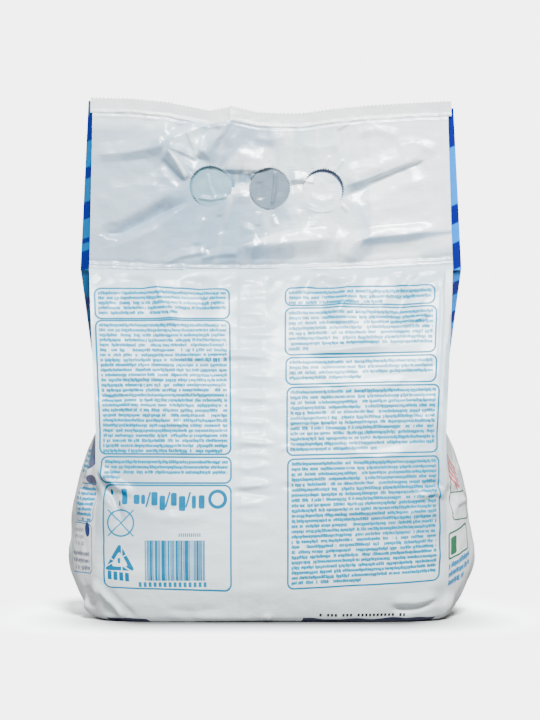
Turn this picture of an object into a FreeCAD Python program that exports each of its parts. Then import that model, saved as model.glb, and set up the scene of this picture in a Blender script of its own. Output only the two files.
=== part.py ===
"""Washing powder bag: a side-gusseted pouch of polyethylene film, welded shut and full of powder.

The bag stands on its flat foot. Its printed text panel faces -Y, its picture panel faces +Y, and
+Z is up. The origin is the middle of the foot, on the surface that the bag stands on.
From the foot upwards it has a filled pouch, whose gussets bulge low down and fold inwards above;
a shoulder weld that closes the pouch; an empty, crumpled header with three perforated finger
discs; and a sealed top band with a saw-toothed cut. Film and powder are one closed solid.
"""
import FreeCAD
import Part
import Sketcher

import math
import os

# Sizes in millimetres and degrees: alias, value, what it is.
SIZES = [
    ("panel_half_width", 90.0, "half width of the film's text panel, corner to centre"),
    ("foot_half_width", 87.0, "half width of the text panel where it reaches the foot"),
    ("weld_half_width", 95.4, "half width of the text panel at the shoulder weld"),
    ("header_half_width", 94.7, "half width of the text panel at the top of the header"),
    ("picture_flare_weld", 4.8, "how far the picture panel stands out each side at the weld"),
    ("picture_flare_top", 1.2, "how far the picture panel stands out each side at the top"),
    ("foot_half_depth", 35.0, "half depth of the bag at the foot"),
    ("belly_half_depth", 42.0, "half depth of the bag at its fullest"),
    ("belly_height", 34.0, "height at which the bag is fullest"),
    ("foot_bulge", 5.0, "how far each gusset stands out of the panel corners at the foot"),
    ("belly_bulge", 16.0, "how far each gusset stands out of the panel corners at the belly"),
    ("gusset_apex_height", 98.0, "height where the gusset turns from bulging out to folded in"),
    ("gusset_half_length", 39.0, "width of half a gusset, from panel corner to middle fold"),
    ("tuck_run", 26.0, "height over which the gusset folds in above its apex"),
    ("corner_set_back", 9.0, "how far the round corners lie behind the panel's middle"),
    ("corner_power", 8.0, "how squarely the panels turn into the round corners"),
    ("panel_bow", 3.6, "bow of the panels across their width, above the belly"),
    ("pouch_height", 181.6, "height of the filled pouch"),
    ("weld_half_thickness", 1.6, "half thickness of the film layers at the shoulder weld"),
    ("sheet_half_thickness", 1.2, "half thickness of the header's film layers"),
    ("band_half_thickness", 0.7, "half thickness of the sealed top band"),
    ("band_set_back", 0.7, "how far the band's two lengths lie before and behind each other"),
    ("weld_height", 184.6, "height of the shoulder weld at the bag's sides"),
    ("weld_sag", 3.2, "how far the shoulder weld sags left of the middle"),
    ("bead_half_thickness", 2.3, "half thickness of the weld's bead"),
    ("bead_height", 2.2, "height of the weld's bead"),
    ("band_height", 7.8, "height of the sealed top band"),
    ("tooth_pitch", 2.0, "pitch of the saw-toothed cut"),
    ("tooth_depth", 0.9, "depth of the saw-toothed cut"),
    ("slot_depth", 10.0, "how deep the gusset's fold is open in from the header's sides"),
    ("slot_gap", 0.8, "gap between the panels at the header's sides"),
    ("seam_left", -16.6, "left edge of the lap seam on the text panel"),
    ("seam_width", 13.8, "width of the lap seam"),
    ("seam_step", 0.4, "how far the lap seam's upper film stands proud"),
    ("header_height", 81.4, "height of the header, from the shoulder weld to the seal of the band"),
    ("finger_radius", 10.8, "radius of the perforated finger discs"),
    ("disc_thickness", 1.0, "thickness of each disc's film layers"),
    ("disc_play", 0.35, "gap of the perforation round each disc"),
    ("disc_shift", 0.6, "how far a disc is pressed in or out"),
    ("disc_tilt", 8.0, "turn of a disc about its hinge"),
    ("membrane_half_thickness", 0.4, "half thickness of the inner film behind the discs"),
    ("recess_length", 4.0, "length of the cuts that free the discs"),
    ("pucker_count", 9, "number of puckers across the lap seam"),
    ("pucker_length", 15.0, "length of a pucker across the lap seam"),
    ("pucker_radius", 2.0, "radius round a pucker's three-sided section"),
    ("pucker_sink", 1.2, "how far a pucker's middle line is sunk in the pouch"),
    ("ear_length", 20.0, "length of the tucked-in film corners along the foot"),
    ("ear_height", 13.0, "height of the tucked-in film corners"),
    ("ear_stand_out", 5.0, "how far the tucked-in film corners stand out"),
    ("fin_width", 13.0, "width of the bottom weld's fin, folded flat under the foot"),
    ("fold_line_width", 0.9, "width of the fold lines under the foot"),
    ("fold_line_depth", 0.5, "depth of the fold lines under the foot"),
]

# Heights of the pouch's cross-sections, as shares of the pouch's height: close where it curves most.
SECTION_SHARES = (0, 0.012, 0.035, 0.07, 0.115, 0.17, 0.225, 0.28, 0.335, 0.39, 0.445, 0.495,
                  0.545, 0.60, 0.66, 0.73, 0.80, 0.87, 0.94, 1.0)

# Places across a panel where its facets meet, as shares of its half width.
PANEL_SHARES = (-0.985, -0.955, -0.91, -0.84, -0.75, -0.64, -0.52, -0.40, -0.28,
                0.06, 0.18, 0.30, 0.42, 0.54, 0.66, 0.77, 0.86, 0.92, 0.96, 0.985)

# Short cuts round each finger disc.
PERFORATIONS = 32

# Facets across half a gusset.
GUSSET_FACETS = 6

# Soft folds of the pouch's text panel: name, start x and height, end x and height, rise at the
# start and at the end, half width. A rise above zero goes into the bag, below zero stands out.
POUCH_FOLDS = (
    ("left shoulder pleat", -60, 181, -48, 150, -1.4, 0.0, 9),
    ("left shoulder hollow", -36, 181, -34, 158, 1.2, 0.0, 9),
    ("right shoulder pleat", 40, 181, 30, 152, -1.2, 0.0, 10),
    ("right shoulder hollow", 70, 181, 62, 150, 1.3, 0.0, 10),
    ("foot dent", 66, 7, 86, 8, 1.2, 1.8, 7),
    ("left edge pinch", -88, 118, -70, 112, 1.6, 0.0, 10),
    ("right edge pinch", 88, 130, 68, 122, 1.4, 0.0, 10),
)

# The header's crumpled film: the corners of its facets as x, height and how far each lies behind
# the bag's middle plane. A number below zero stands out towards the text panel's side.
# The corners are noted on a sheet of their own, which is laid out to the header's real size.
NOTED_HALF_WIDTH = 92.7
NOTED_WELD_HEIGHT = 181.2
NOTED_SEAL_HEIGHT = 259.8
SIDE_CORNERS = (
    (-92.6, 200, 0), (-92.4, 220, 0), (-92.2, 240, 0), (92.5, 200, 0), (92.3, 220, 0), (92.1, 240, 0),
)
SEAL_CORNERS = (
    (-92, 259.8, 0), (-71, 259.3, 0), (-53, 257.6, 0.4), (-41, 255.2, 0.8), (-31, 253.3, 1.1),
    (-20, 255.4, -1.8), (-7, 252.4, -0.7), (6, 251.8, -0.6), (16, 251.9, -0.6), (30, 253.9, -0.6),
    (51, 255.9, -0.5), (70, 257.0, -0.2), (92, 258.0, 0),
)
WELD_PLACES = (-92.7, -75, -58, -44, -30, -15, 0, 14, 28, 41, 56, 75, 92.7)
LEFT_CORNERS = (
    (-80, 237, -0.3), (-66, 241, -1.2), (-53.5, 244, -2.6), (-70, 250, 0.4), (-50, 251.5, 0.6),
    (-74, 225, 0.6), (-60, 229, 0.5), (-48, 236.5, -2.0), (-54, 233, 0.8), (-43.5, 237.5, 1.0),
    (-36.6, 236.4, 1.6), (-42, 246, -0.2), (-32, 246, 1.2), (-27.5, 250.5, 1.5),
)
TROUGH_CORNERS = (
    (-56, 210.5, 1.8), (-66, 204.5, 1.6), (-76, 200.5, 1.0), (-85, 203, 0.3), (-51, 219.5, -0.6),
    (-62, 213, -0.8), (-74, 207, -0.5), (-50, 207, -1.0), (-60, 200, -1.0), (-70, 195.5, -0.6),
)
MIDDLE_CORNERS = (
    (-33.2, 238, -1.4), (-28, 246, -2.6), (-23.5, 251.5, -2.9), (-12, 246, -0.6), (0, 242, -0.2),
    (-16, 238, -1.9), (-8, 235.5, -2.0), (4, 248, -0.9), (-16, 230.2, 1.3), (-17, 225.5, 0.6),
    (-15.8, 221, -1.8), (-16, 214, -0.2), (12.8, 232.5, 0.3), (13, 222, -1.5), (12.8, 213, -0.2),
)
RIGHT_CORNERS = (
    (20, 244, -0.6), (40, 245, 0.4), (60, 247, -0.5), (76, 246, 0.3), (52, 225.3, 1.5),
    (66, 230.5, 0.9), (80, 235.6, 0.1), (43, 227, -0.7), (54, 231.5, -0.6), (68, 236.5, -0.4),
    (44, 214.5, -1.1), (56, 219, -1.2), (72, 226, -0.6), (82, 217, 0.2),
)
LOW_CORNERS = (
    (44.5, 194, -1.9), (52, 198.5, -2.2), (62, 200.5, -1.6), (84, 201, -0.5), (55, 190, 0.9),
    (70, 191, 0.8), (35, 202, 0.6), (60, 208, 0), (-13, 191, -1.8), (5, 196.5, -2.4),
    (18, 199.5, -2.2), (32, 194.5, -1.5), (-5, 187, 0.7), (14, 187, 0.9), (28, 188, 0.5),
    (0, 205, 0.2), (20, 207.5, 0.1), (-25, 200, 0.4), (-40, 197, 0.6), (-30, 188, -0.4),
    (-54, 189, 0.5), (-80, 190, 0.3),
)

# The finger discs: name, middle x and height, the film's place at the rim every 45 degrees from
# +X, the hinge that the disc turns about, and 1 where it is pressed in or -1 where it stands out.
FINGER_DISCS = (
    ("left", -31.1, 222.0, (0.4, 0.2, -0.6, -0.7, -0.4, 0.6, -0.2, -0.5), (-1, 0, -1), 1),
    ("middle", -0.7, 221.0, (-0.5, 0.2, -0.2, 0.1, -0.5, -0.3, 0.1, 0.0), (0, 0, 1), -1),
    ("right", 26.7, 220.5, (0.5, -0.1, 0.5, 0.2, -0.6, -0.4, -0.3, 0.1), (-1, 0, 0), 1),
)


def millimetres(number):
    """A sheet cell as a plain number."""
    return float(getattr(number, "Value", number))


def make_sheet(doc):
    """The spreadsheet of driving dimensions, one alias a row."""
    sheet = doc.addObject("Spreadsheet::Sheet", "sizes")
    for row, (alias, value, note) in enumerate(SIZES, start=1):
        sheet.set("A%d" % row, note)
        sheet.set("B%d" % row, str(value))
        sheet.setAlias("B%d" % row, alias)
    doc.recompute()
    return sheet


def bind(feature, **expressions):
    """Binds a feature's properties to cells of the sheet."""
    for prop, expression in expressions.items():
        feature.setExpression(prop, expression)


def smooth_step(share):
    """0 below 0, 1 above 1 and a smooth turn between."""
    share = min(1.0, max(0.0, share))
    return share * share * (3 - 2 * share)


def blend(low, high, share):
    return low + (high - low) * share


def fold_relief(x, z):
    """How far the soft folds move the pouch's text panel into the bag at one place."""
    relief = 0.0
    for _, x0, z0, x1, z1, rise0, rise1, width in POUCH_FOLDS:
        along = (x1 - x0, z1 - z0)
        share = ((x - x0) * along[0] + (z - z0) * along[1]) / (along[0] ** 2 + along[1] ** 2)
        held = min(1.0, max(0.0, share))
        away = math.hypot(x - x0 - held * along[0], z - z0 - held * along[1])
        relief += blend(rise0, rise1, held) * smooth_step(1 - away / width)
    return relief


class Pouch:
    """The form of the filled pouch: what its cross-section measures at each height."""

    def __init__(self, size):
        self.size = size

    def roundness(self, z):
        """1 where powder rounds the corners out, 0 where the corners are sharp folds."""
        apex = self.size("gusset_apex_height")
        return smooth_step((apex - z) / (apex - self.size("belly_height")) + 0.12)

    def lift(self, z):
        """0 at the gusset's apex and below, 1 at the pouch's top."""
        apex = self.size("gusset_apex_height")
        return max(0.0, (z - apex) / (self.size("pouch_height") - apex))

    def half_depth(self, z):
        """From the middle plane to the middle of a panel."""
        belly, full = self.size("belly_height"), self.size("belly_half_depth")
        if z < belly:
            return full - (full - self.size("foot_half_depth")) * ((belly - z) / belly) ** 2.4
        weld = self.size("weld_half_thickness")
        quarter = math.pi / 2 * (z - belly) / (self.size("pouch_height") - belly)
        return weld + (full - weld) * max(0.0, math.cos(quarter)) ** 0.9

    def corner_half_depth(self, z):
        """From the middle plane to a panel's corner."""
        depth = self.half_depth(z)
        bow = min(self.size("panel_bow"), 0.2 * depth) * (1 - self.lift(z))
        return depth - blend(bow, self.size("corner_set_back"), self.roundness(z))

    def text_half_width(self, z):
        """Half width of the text panel."""
        apex = self.size("gusset_apex_height")
        if z < apex:
            share = 1 - (1 - min(1.0, z / self.size("belly_height"))) ** 2
            return blend(self.size("foot_half_width"), self.size("panel_half_width"), share)
        return blend(self.size("panel_half_width"), self.size("weld_half_width"), self.lift(z))

    def picture_half_width(self, z):
        """Half width of the picture panel, which stands out of the text panel higher up."""
        return self.text_half_width(z) + self.size("picture_flare_weld") * self.lift(z) ** 0.6

    def gusset_half_width(self, z):
        """From the middle plane to the gusset's middle fold."""
        belly, apex = self.size("belly_height"), self.size("gusset_apex_height")
        foot, full = self.size("foot_bulge"), self.size("belly_bulge")
        if z < belly:
            stand_out = full - (full - foot) * ((belly - z) / belly) ** 2.4
        elif z < apex:
            stand_out = full * (1 - ((z - belly) / (apex - belly)) ** 2) ** 0.85
        else:
            length, depth = self.size("gusset_half_length"), self.corner_half_depth(z)
            folded = math.sqrt(max(0.0, length ** 2 - depth ** 2))
            stand_out = -folded * smooth_step((z - apex) / self.size("tuck_run"))
        return self.text_half_width(z) + stand_out

    def panel_depth(self, x, z, half_width):
        """From the middle plane to the panel, x from its middle."""
        depth, corner = self.half_depth(z), self.corner_half_depth(z)
        power = blend(2.0, self.size("corner_power"), self.roundness(z))
        return corner + (depth - corner) * (1 - min(1.0, abs(x) / half_width) ** power)

    def gusset_point(self, z, half_width, share):
        """A point of half a gusset, share 0 at the panel's corner and 1 at the middle fold."""
        start = (half_width, self.corner_half_depth(z))
        end = (self.gusset_half_width(z), 0.0)
        along = (end[0] - start[0], end[1] - start[1])
        length = math.hypot(*along)
        straight = (along[0] / length, along[1] / length)
        turn = self.roundness(z)
        first = turned(straight, (math.sqrt(0.5), -math.sqrt(0.5)), turn)
        last = turned(straight, (0.0, -1.0), turn)
        reach = 0.36 * length
        near = (start[0] + first[0] * reach, start[1] + first[1] * reach)
        far = (end[0] - last[0] * reach, end[1] - last[1] * reach)
        rest = 1 - share
        weights = (rest ** 3, 3 * rest ** 2 * share, 3 * rest * share ** 2, share ** 3)
        return tuple(sum(w * p[axis] for w, p in zip(weights, (start, near, far, end)))
                     for axis in (0, 1))

    def ring(self, z):
        """The corners of one cross-section, counter-clockwise from above."""
        points = []
        top_fade = smooth_step((self.size("pouch_height") - z) / 22)
        seam_left = self.size("seam_left")
        seam_right = seam_left + self.size("seam_width")
        step = self.size("seam_step")
        text, picture = self.text_half_width(z), self.picture_half_width(z)
        places = [(text * share, 0.0) for share in (-1,) + PANEL_SHARES]
        places += [(seam_left - step, 0.0), (seam_left, step), (seam_right, step),
                   (seam_right + step, 0.0)]
        for x, proud in sorted(places):
            fade = smooth_step((text - abs(x)) / 6) if abs(x) < text else 0.0
            inward = fold_relief(x, z) * fade * top_fade - proud
            points.append((x, -self.panel_depth(x, z, text) + inward, z))
        shares = [index / GUSSET_FACETS for index in range(GUSSET_FACETS)]
        right = [self.gusset_point(z, text, share) for share in shares]
        points += [(x, -y, z) for x, y in right]
        behind = [self.gusset_point(z, picture, 1 - share) for share in shares]
        points += [(x, y, z) for x, y in behind]
        for share in sorted((-1,) + PANEL_SHARES):
            x = -picture * share
            points.append((x, self.panel_depth(x, z, picture), z))
        ahead = [self.gusset_point(z, picture, share) for share in shares]
        points += [(-x, y, z) for x, y in ahead]
        left = [self.gusset_point(z, text, 1 - share) for share in shares]
        points += [(-x, -y, z) for x, y in left]
        return points

    def solid(self):
        """The pouch as a closed skin of flat facets between its cross-sections."""
        height = self.size("pouch_height")
        rings = [self.ring(share * height) for share in SECTION_SHARES]
        count = len(rings[0])
        triangles = []
        for low, high in zip(rings, rings[1:]):
            for index in range(count):
                after = (index + 1) % count
                a, b, c, d = low[index], low[after], high[after], high[index]
                if (index + after) % 2 and index % 2:
                    triangles += [(a, b, c), (a, c, d)]
                else:
                    triangles += [(a, b, d), (b, c, d)]
        caps = [[p for p in rings[0]][::-1], rings[-1]]
        return skin(triangles, caps)


def turned(first, second, share):
    """A unit direction part of the way from one direction to another."""
    x, y = blend(first[0], second[0], share), blend(first[1], second[1], share)
    length = math.hypot(x, y)
    return x / length, y / length


def skin(triangles, caps=()):
    """A closed solid from flat triangles and flat polygons."""
    faces = []
    for corners in list(triangles) + list(caps):
        points = [FreeCAD.Vector(*p) for p in corners]
        if len(points) == 3 and (points[1] - points[0]).cross(points[2] - points[0]).Length < 1e-7:
            continue
        faces.append(Part.Face(Part.makePolygon(points + points[:1])))
    shell = Part.makeShell(faces)
    shell.sewShape()
    solid = Part.Solid(shell)
    if solid.Volume < 0:
        solid.reverse()
    return solid


def weld_line(size, x):
    """Height of the shoulder weld, which sags left of the middle."""
    half = size("weld_half_width")
    sag = math.cos(math.pi / 2 * min(1.0, abs(x + 0.2 * half) / (1.2 * half)))
    return size("weld_height") - size("weld_sag") * sag


def laid_out(size, x, z):
    """A noted place of the header's sheet at the header's real size."""
    across = size("weld_half_width") / NOTED_HALF_WIDTH
    upwards = size("header_height") / (NOTED_SEAL_HEIGHT - NOTED_WELD_HEIGHT)
    return x * across, size("pouch_height") + 1.2 + (z - NOTED_WELD_HEIGHT) * upwards


def laid_corners(size, corners):
    return [laid_out(size, x, z) + (y,) for x, z, y in corners]


def seal_line(size, x):
    """Height of the line where the header's film meets the sealed band."""
    corners = laid_corners(size, SEAL_CORNERS)
    for (x0, z0, _), (x1, z1, _) in zip(corners, corners[1:]):
        if x <= x1:
            return blend(z0, z1, (x - x0) / (x1 - x0))
    return corners[-1][1]


def circle_through(a, b, c):
    """Centre and squared radius of the circle through three points."""
    d = 2 * (a[0] * (b[1] - c[1]) + b[0] * (c[1] - a[1]) + c[0] * (a[1] - b[1]))
    if abs(d) < 1e-9:
        return (0.0, 0.0), float("inf")
    squares = [p[0] ** 2 + p[1] ** 2 for p in (a, b, c)]
    x = (squares[0] * (b[1] - c[1]) + squares[1] * (c[1] - a[1]) + squares[2] * (a[1] - b[1])) / d
    y = (squares[0] * (c[0] - b[0]) + squares[1] * (a[0] - c[0]) + squares[2] * (b[0] - a[0])) / d
    return (x, y), (a[0] - x) ** 2 + (a[1] - y) ** 2


def delaunay(points):
    """Triangles between points of a plane, so that no point lies in another triangle's circle."""
    far = 5000.0
    work = list(points) + [(-far, -far), (far, -far), (0.0, far)]
    count = len(points)
    triangles = {(count, count + 1, count + 2): circle_through(*work[count:])}
    for index in range(count):
        px, py = work[index]
        bad = [t for t, (middle, square) in triangles.items()
               if (px - middle[0]) ** 2 + (py - middle[1]) ** 2 < square - 1e-9]
        edges = {}
        for triangle in bad:
            del triangles[triangle]
            for a, b in zip(triangle, triangle[1:] + triangle[:1]):
                edges[(min(a, b), max(a, b))] = edges.get((min(a, b), max(a, b)), 0) + 1
        for (a, b), uses in edges.items():
            if uses == 1:
                triangles[(a, b, index)] = circle_through(work[a], work[b], work[index])
    return [t for t in triangles if max(t) < count]


def header_corners(size):
    """Every corner of the header's facets, and those on its outline in order."""
    foot = size("pouch_height") - 0.8
    weld = [(laid_out(size, x, 0)[0], foot, 0.0) for x in WELD_PLACES]
    sides = laid_corners(size, SIDE_CORNERS)
    right = sorted((c for c in sides if c[0] > 0), key=lambda c: c[1])
    left = sorted((c for c in sides if c[0] < 0), key=lambda c: -c[1])
    outline = weld + right + laid_corners(size, SEAL_CORNERS)[::-1] + left
    inner = laid_corners(size, LEFT_CORNERS + TROUGH_CORNERS + MIDDLE_CORNERS
                         + RIGHT_CORNERS + LOW_CORNERS)
    rim = size("finger_radius") + 1.2
    for _, noted_x, noted_z, places, _, _ in FINGER_DISCS:
        x, z = laid_out(size, noted_x, noted_z)
        inner.append((x, z, 0.0))
        for index, place in enumerate(places):
            angle = math.radians(45 * index)
            inner.append((x + rim * math.cos(angle), z + rim * math.sin(angle), place))
    return outline, inner


def header_solid(size):
    """The crumpled header: a net of flat facets, doubled by the film's thickness."""
    outline, inner = header_corners(size)
    corners = outline + inner
    half = size("sheet_half_thickness")
    front = [(x, y - half, z) for x, z, y in corners]
    back = [(x, y + half, z) for x, z, y in corners]
    rim = len(outline)
    triangles = []
    for a, b, c in delaunay([(x, z) for x, z, _ in corners]):
        (ax, az), (bx, bz), (cx, cz) = [corners[i][:2] for i in (a, b, c)]
        turn = (bx - ax) * (cz - az) - (cx - ax) * (bz - az)
        if turn < 0:
            b, c = c, b
        if max(a, b, c) < rim and outside(corners, (a, b, c), outline):
            continue
        triangles.append((front[a], front[b], front[c]))
        triangles.append((back[a], back[c], back[b]))
    for index in range(rim):
        after = (index + 1) % rim
        triangles.append((front[index], back[index], back[after]))
        triangles.append((front[index], back[after], front[after]))
    return skin(triangles)


def outside(corners, triangle, outline):
    """True for a sliver whose middle lies outside the header's outline."""
    x = sum(corners[i][0] for i in triangle) / 3
    z = sum(corners[i][1] for i in triangle) / 3
    crossings = 0
    for (x0, z0, _), (x1, z1, _) in zip(outline, outline[1:] + outline[:1]):
        if (z0 > z) != (z1 > z) and x < x0 + (z - z0) * (x1 - x0) / (z1 - z0):
            crossings += 1
    return crossings % 2 == 0


def add_shape(doc, name, shape):
    feature = doc.addObject("Part::Feature", name)
    feature.Shape = shape
    return feature


def add_plate(doc, name, outline, thickness, shift):
    """A flat plate across the bag: a sketch on the XZ plane, padded evenly to both sides."""
    body = doc.addObject("PartDesign::Body", name)
    plane = [p for p in body.Origin.OriginFeatures if p.Role == "XZ_Plane"][0]
    sketch = body.newObject("Sketcher::SketchObject", name + "_outline")
    sketch.AttachmentSupport = [(plane, "")]
    sketch.MapMode = "FlatFace"
    points = [FreeCAD.Vector(x, z, 0) for x, z in outline]
    lines = [Part.LineSegment(a, b) for a, b in zip(points, points[1:] + points[:1])]
    sketch.addGeometry(lines, False)
    joints = [Sketcher.Constraint("Coincident", index, 2, (index + 1) % len(lines), 1)
              for index in range(len(lines))]
    sketch.addConstraint(joints)
    pad = body.newObject("PartDesign::Pad", name + "_pad")
    pad.Profile = sketch
    pad.Midplane = True
    bind(pad, Length=thickness)
    bind(body, **{".Placement.Base.y": shift})
    sketch.Visibility = False
    return body


def toothed(size, left, right):
    """The outline of one length of the sealed band, with its saw-toothed top."""
    pitch, depth, tall = size("tooth_pitch"), size("tooth_depth"), size("band_height")
    count = int((right - left) / pitch)
    pitch = (right - left) / count
    top = []
    for index in range(2 * count + 1):
        x = left + index * pitch / 2
        top.append((x, seal_line(size, x) + tall - (depth if index % 2 else 0.0)))
    lap = 1.0
    low = [(x, z - lap) for x, z, _ in laid_corners(size, SEAL_CORNERS) if left < x < right]
    low = [(left, seal_line(size, left) - lap)] + low + [(right, seal_line(size, right) - lap)]
    return low + top[::-1]


def add_plates(doc, size):
    """The flat films: the weld's bead, the sealed band's two lengths and the picture panel."""
    tall, lap = size("bead_height"), 0.8
    half = size("weld_half_width")
    places = [half * (index / 8 - 1) for index in range(17)]
    bead = [(x, weld_line(size, x) - lap) for x in places]
    bead += [(x, weld_line(size, x) + tall - lap) for x in reversed(places)]
    plates = [add_plate(doc, "weld_bead", bead, "sizes.bead_half_thickness * 2", "0")]
    top = size("header_half_width")
    thick = "sizes.band_half_thickness * 2"
    plates.append(add_plate(doc, "left_band", toothed(size, -top, -20.1), thick,
                            "sizes.band_set_back"))
    plates.append(add_plate(doc, "right_band", toothed(size, -20.6, top), thick,
                            "-sizes.band_set_back"))
    fold = [laid_out(size, x, z) for x, z in ((-29, 252.5), (-18, 252.5), (-18, 260), (-29, 260))]
    plates.append(add_plate(doc, "band_fold", fold, "sizes.band_set_back * 2 + 0.8", "0"))
    low, high = size("picture_flare_weld"), size("picture_flare_top")
    inner = size("slot_depth") + 2
    foot = size("pouch_height") - 1.5
    for name, side in (("left_picture_edge", -1), ("right_picture_edge", 1)):
        cut = seal_line(size, side * top) + size("band_height") - 1.5
        strip = [(half - inner, foot), (half + low, foot), (top + high, cut), (top - inner, cut)]
        strip = [(side * x, z) for x, z in strip][::side]
        plates.append(add_plate(doc, name, strip, "sizes.sheet_half_thickness - sizes.slot_gap / 2",
                                "(sizes.sheet_half_thickness + sizes.slot_gap / 2) / 2"))
    return plates


def add_slots(doc, size):
    """The open gusset folds, a thin gap in from each side of the header."""
    slots = []
    for name, side in (("left_slot", -1), ("right_slot", 1)):
        slot = doc.addObject("Part::Box", name)
        bind(slot, Length="sizes.slot_depth * 2", Width="sizes.slot_gap",
             Height="sizes.header_height - sizes.bead_height * 2",
             **{".Placement.Base.x": "%d * sizes.header_half_width - sizes.slot_depth" % side,
                ".Placement.Base.y": "-sizes.slot_gap / 2",
                ".Placement.Base.z": "sizes.weld_height + sizes.bead_height * 2"})
        slots.append(slot)
    return slots


def add_round(doc, name, radius, height, centre, turn):
    """A round of short straight cuts, along Y, its middle at centre and turned about it."""
    piece = doc.addObject("Part::Prism", name)
    piece.Polygon = PERFORATIONS
    bind(piece, Circumradius=radius, Height=height)
    doc.recompute()
    half = FreeCAD.Vector(0, millimetres(piece.Height) / 2, 0)
    lay_down = FreeCAD.Placement(half, FreeCAD.Rotation(FreeCAD.Vector(1, 0, 0), 90))
    piece.Placement = FreeCAD.Placement(centre, turn) * lay_down
    return piece


def add_finger_discs(doc, size):
    """A round recess on both faces of the header for each disc, and the tilted disc in it."""
    recesses, discs = [], []
    reach = size("recess_length") / 2 + size("membrane_half_thickness")
    for name, noted_x, noted_z, _, hinge, inward in FINGER_DISCS:
        x, z = laid_out(size, noted_x, noted_z)
        for face, sign in (("front", -1), ("back", 1)):
            recesses.append(add_round(
                doc, "%s_%s_recess" % (name, face), "sizes.finger_radius", "sizes.recess_length",
                FreeCAD.Vector(x, sign * reach, z), FreeCAD.Rotation()))
        place = FreeCAD.Vector(x, inward * size("disc_shift"), z)
        turn = FreeCAD.Rotation(FreeCAD.Vector(*hinge), size("disc_tilt"))
        discs.append(add_round(doc, "%s_disc" % name, "sizes.finger_radius - sizes.disc_play",
                                  "sizes.disc_thickness", place, turn))
    return recesses, discs


def add_puckers(doc, size, pouch):
    """Short puckers across the lap seam, each a three-sided ridge half sunk in the film."""
    puckers = []
    count = int(size("pucker_count"))
    middle = size("seam_left") + size("seam_width") / 2
    for index in range(count):
        share = (index + 1) / (count + 1)
        z = size("pouch_height") * (share + 0.02 * math.sin(5 * index))
        lean = 9 * math.sin(3 * index + 1)
        ridge = doc.addObject("Part::Prism", "pucker_%d" % (index + 1))
        ridge.Polygon = 3
        stretch = 0.8 + 0.35 * math.sin(4 * index + 2)
        bind(ridge, Circumradius="sizes.pucker_radius",
             Height="sizes.pucker_length * %.2f" % stretch)
        doc.recompute()
        length = millimetres(ridge.Height)
        surface = -pouch.half_depth(z) - size("seam_step")
        place = FreeCAD.Vector(middle + 3 * math.sin(7 * index), surface + size("pucker_sink"), z)
        turn = FreeCAD.Rotation(FreeCAD.Vector(0, 1, 0), 90 + lean)
        spin = FreeCAD.Rotation(FreeCAD.Vector(0, 0, 1), -90)
        back = FreeCAD.Placement(FreeCAD.Vector(0, 0, -length / 2), spin)
        ridge.Placement = FreeCAD.Placement(place, turn) * back
        puckers.append(ridge)
    return puckers


def add_ears(doc, size, pouch):
    """The tucked-in corners of the film beside the foot, one flap at each end of each panel."""
    ears = []
    foot, deep = size("foot_half_width"), pouch.corner_half_depth(0)
    for name, side, face, scale in (("front_left", -1, -1, 1.0), ("front_right", 1, -1, 0.7),
                                    ("back_left", -1, 1, 0.8), ("back_right", 1, 1, 0.9)):
        long, tall, out = (scale * size(a) for a in ("ear_length", "ear_height", "ear_stand_out"))
        corner = pouch.corner_half_depth(tall)
        a = (side * (foot - long), face * (deep + out * 0.3), 0.0)
        b = (side * (foot + out * 0.6), face * (deep - 2.0), 0.0)
        c = (side * (foot + out * 0.4), face * (corner - 4.0), tall)
        d = (side * (foot - long), face * (deep - long), 1.0)
        ears.append(add_shape(doc, "%s_ear" % name,
                              skin([(a, b, c), (a, d, b), (b, d, c), (a, c, d)])))
    return ears


def add_fold_lines(doc, size):
    """Grooves under the foot: both sides of the flat bottom fin and the gussets' slanted folds."""
    lines = []
    half = size("foot_half_width") - size("ear_length") / 2
    fin = size("fin_width") / 2
    deep = size("foot_half_depth") - size("ear_length") / 2
    runs = [(0, -fin, 0, half), (0, fin, 0, half)]
    for x_sign in (-1, 1):
        for y_sign in (-1, 1):
            middle = (deep + fin) / 2
            runs.append((x_sign * (half - middle / 2), y_sign * middle, -x_sign * y_sign * 45,
                         (deep - fin) / 2 * 1.2))
    for index, (x, y, angle, reach) in enumerate(runs, start=1):
        line = doc.addObject("Part::Box", "fold_line_%d" % index)
        bind(line, Width="sizes.fold_line_width", Height="sizes.fold_line_depth * 2")
        line.Length = 2 * reach
        shift = FreeCAD.Vector(-reach, -size("fold_line_width") / 2, -size("fold_line_depth"))
        turn = FreeCAD.Rotation(FreeCAD.Vector(0, 0, 1), angle)
        line.Placement = FreeCAD.Placement(FreeCAD.Vector(x, y, 0), turn).multiply(
            FreeCAD.Placement(shift, FreeCAD.Rotation()))
        lines.append(line)
    return lines


def check(doc, pieces):
    """Stops the build when an object failed or a piece is not one valid closed solid."""
    for feature in doc.Objects:
        if {"Invalid", "Error"} & set(feature.State):
            raise RuntimeError("failed: %s %s" % (feature.Name, feature.State))
    for piece in pieces:
        shape = piece.Shape
        if shape.isNull() or not shape.isValid() or len(shape.Solids) != 1:
            raise RuntimeError("not one valid solid: %s, %d solids, valid %s" % (
                piece.Label, len(shape.Solids), shape.isValid()))


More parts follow.
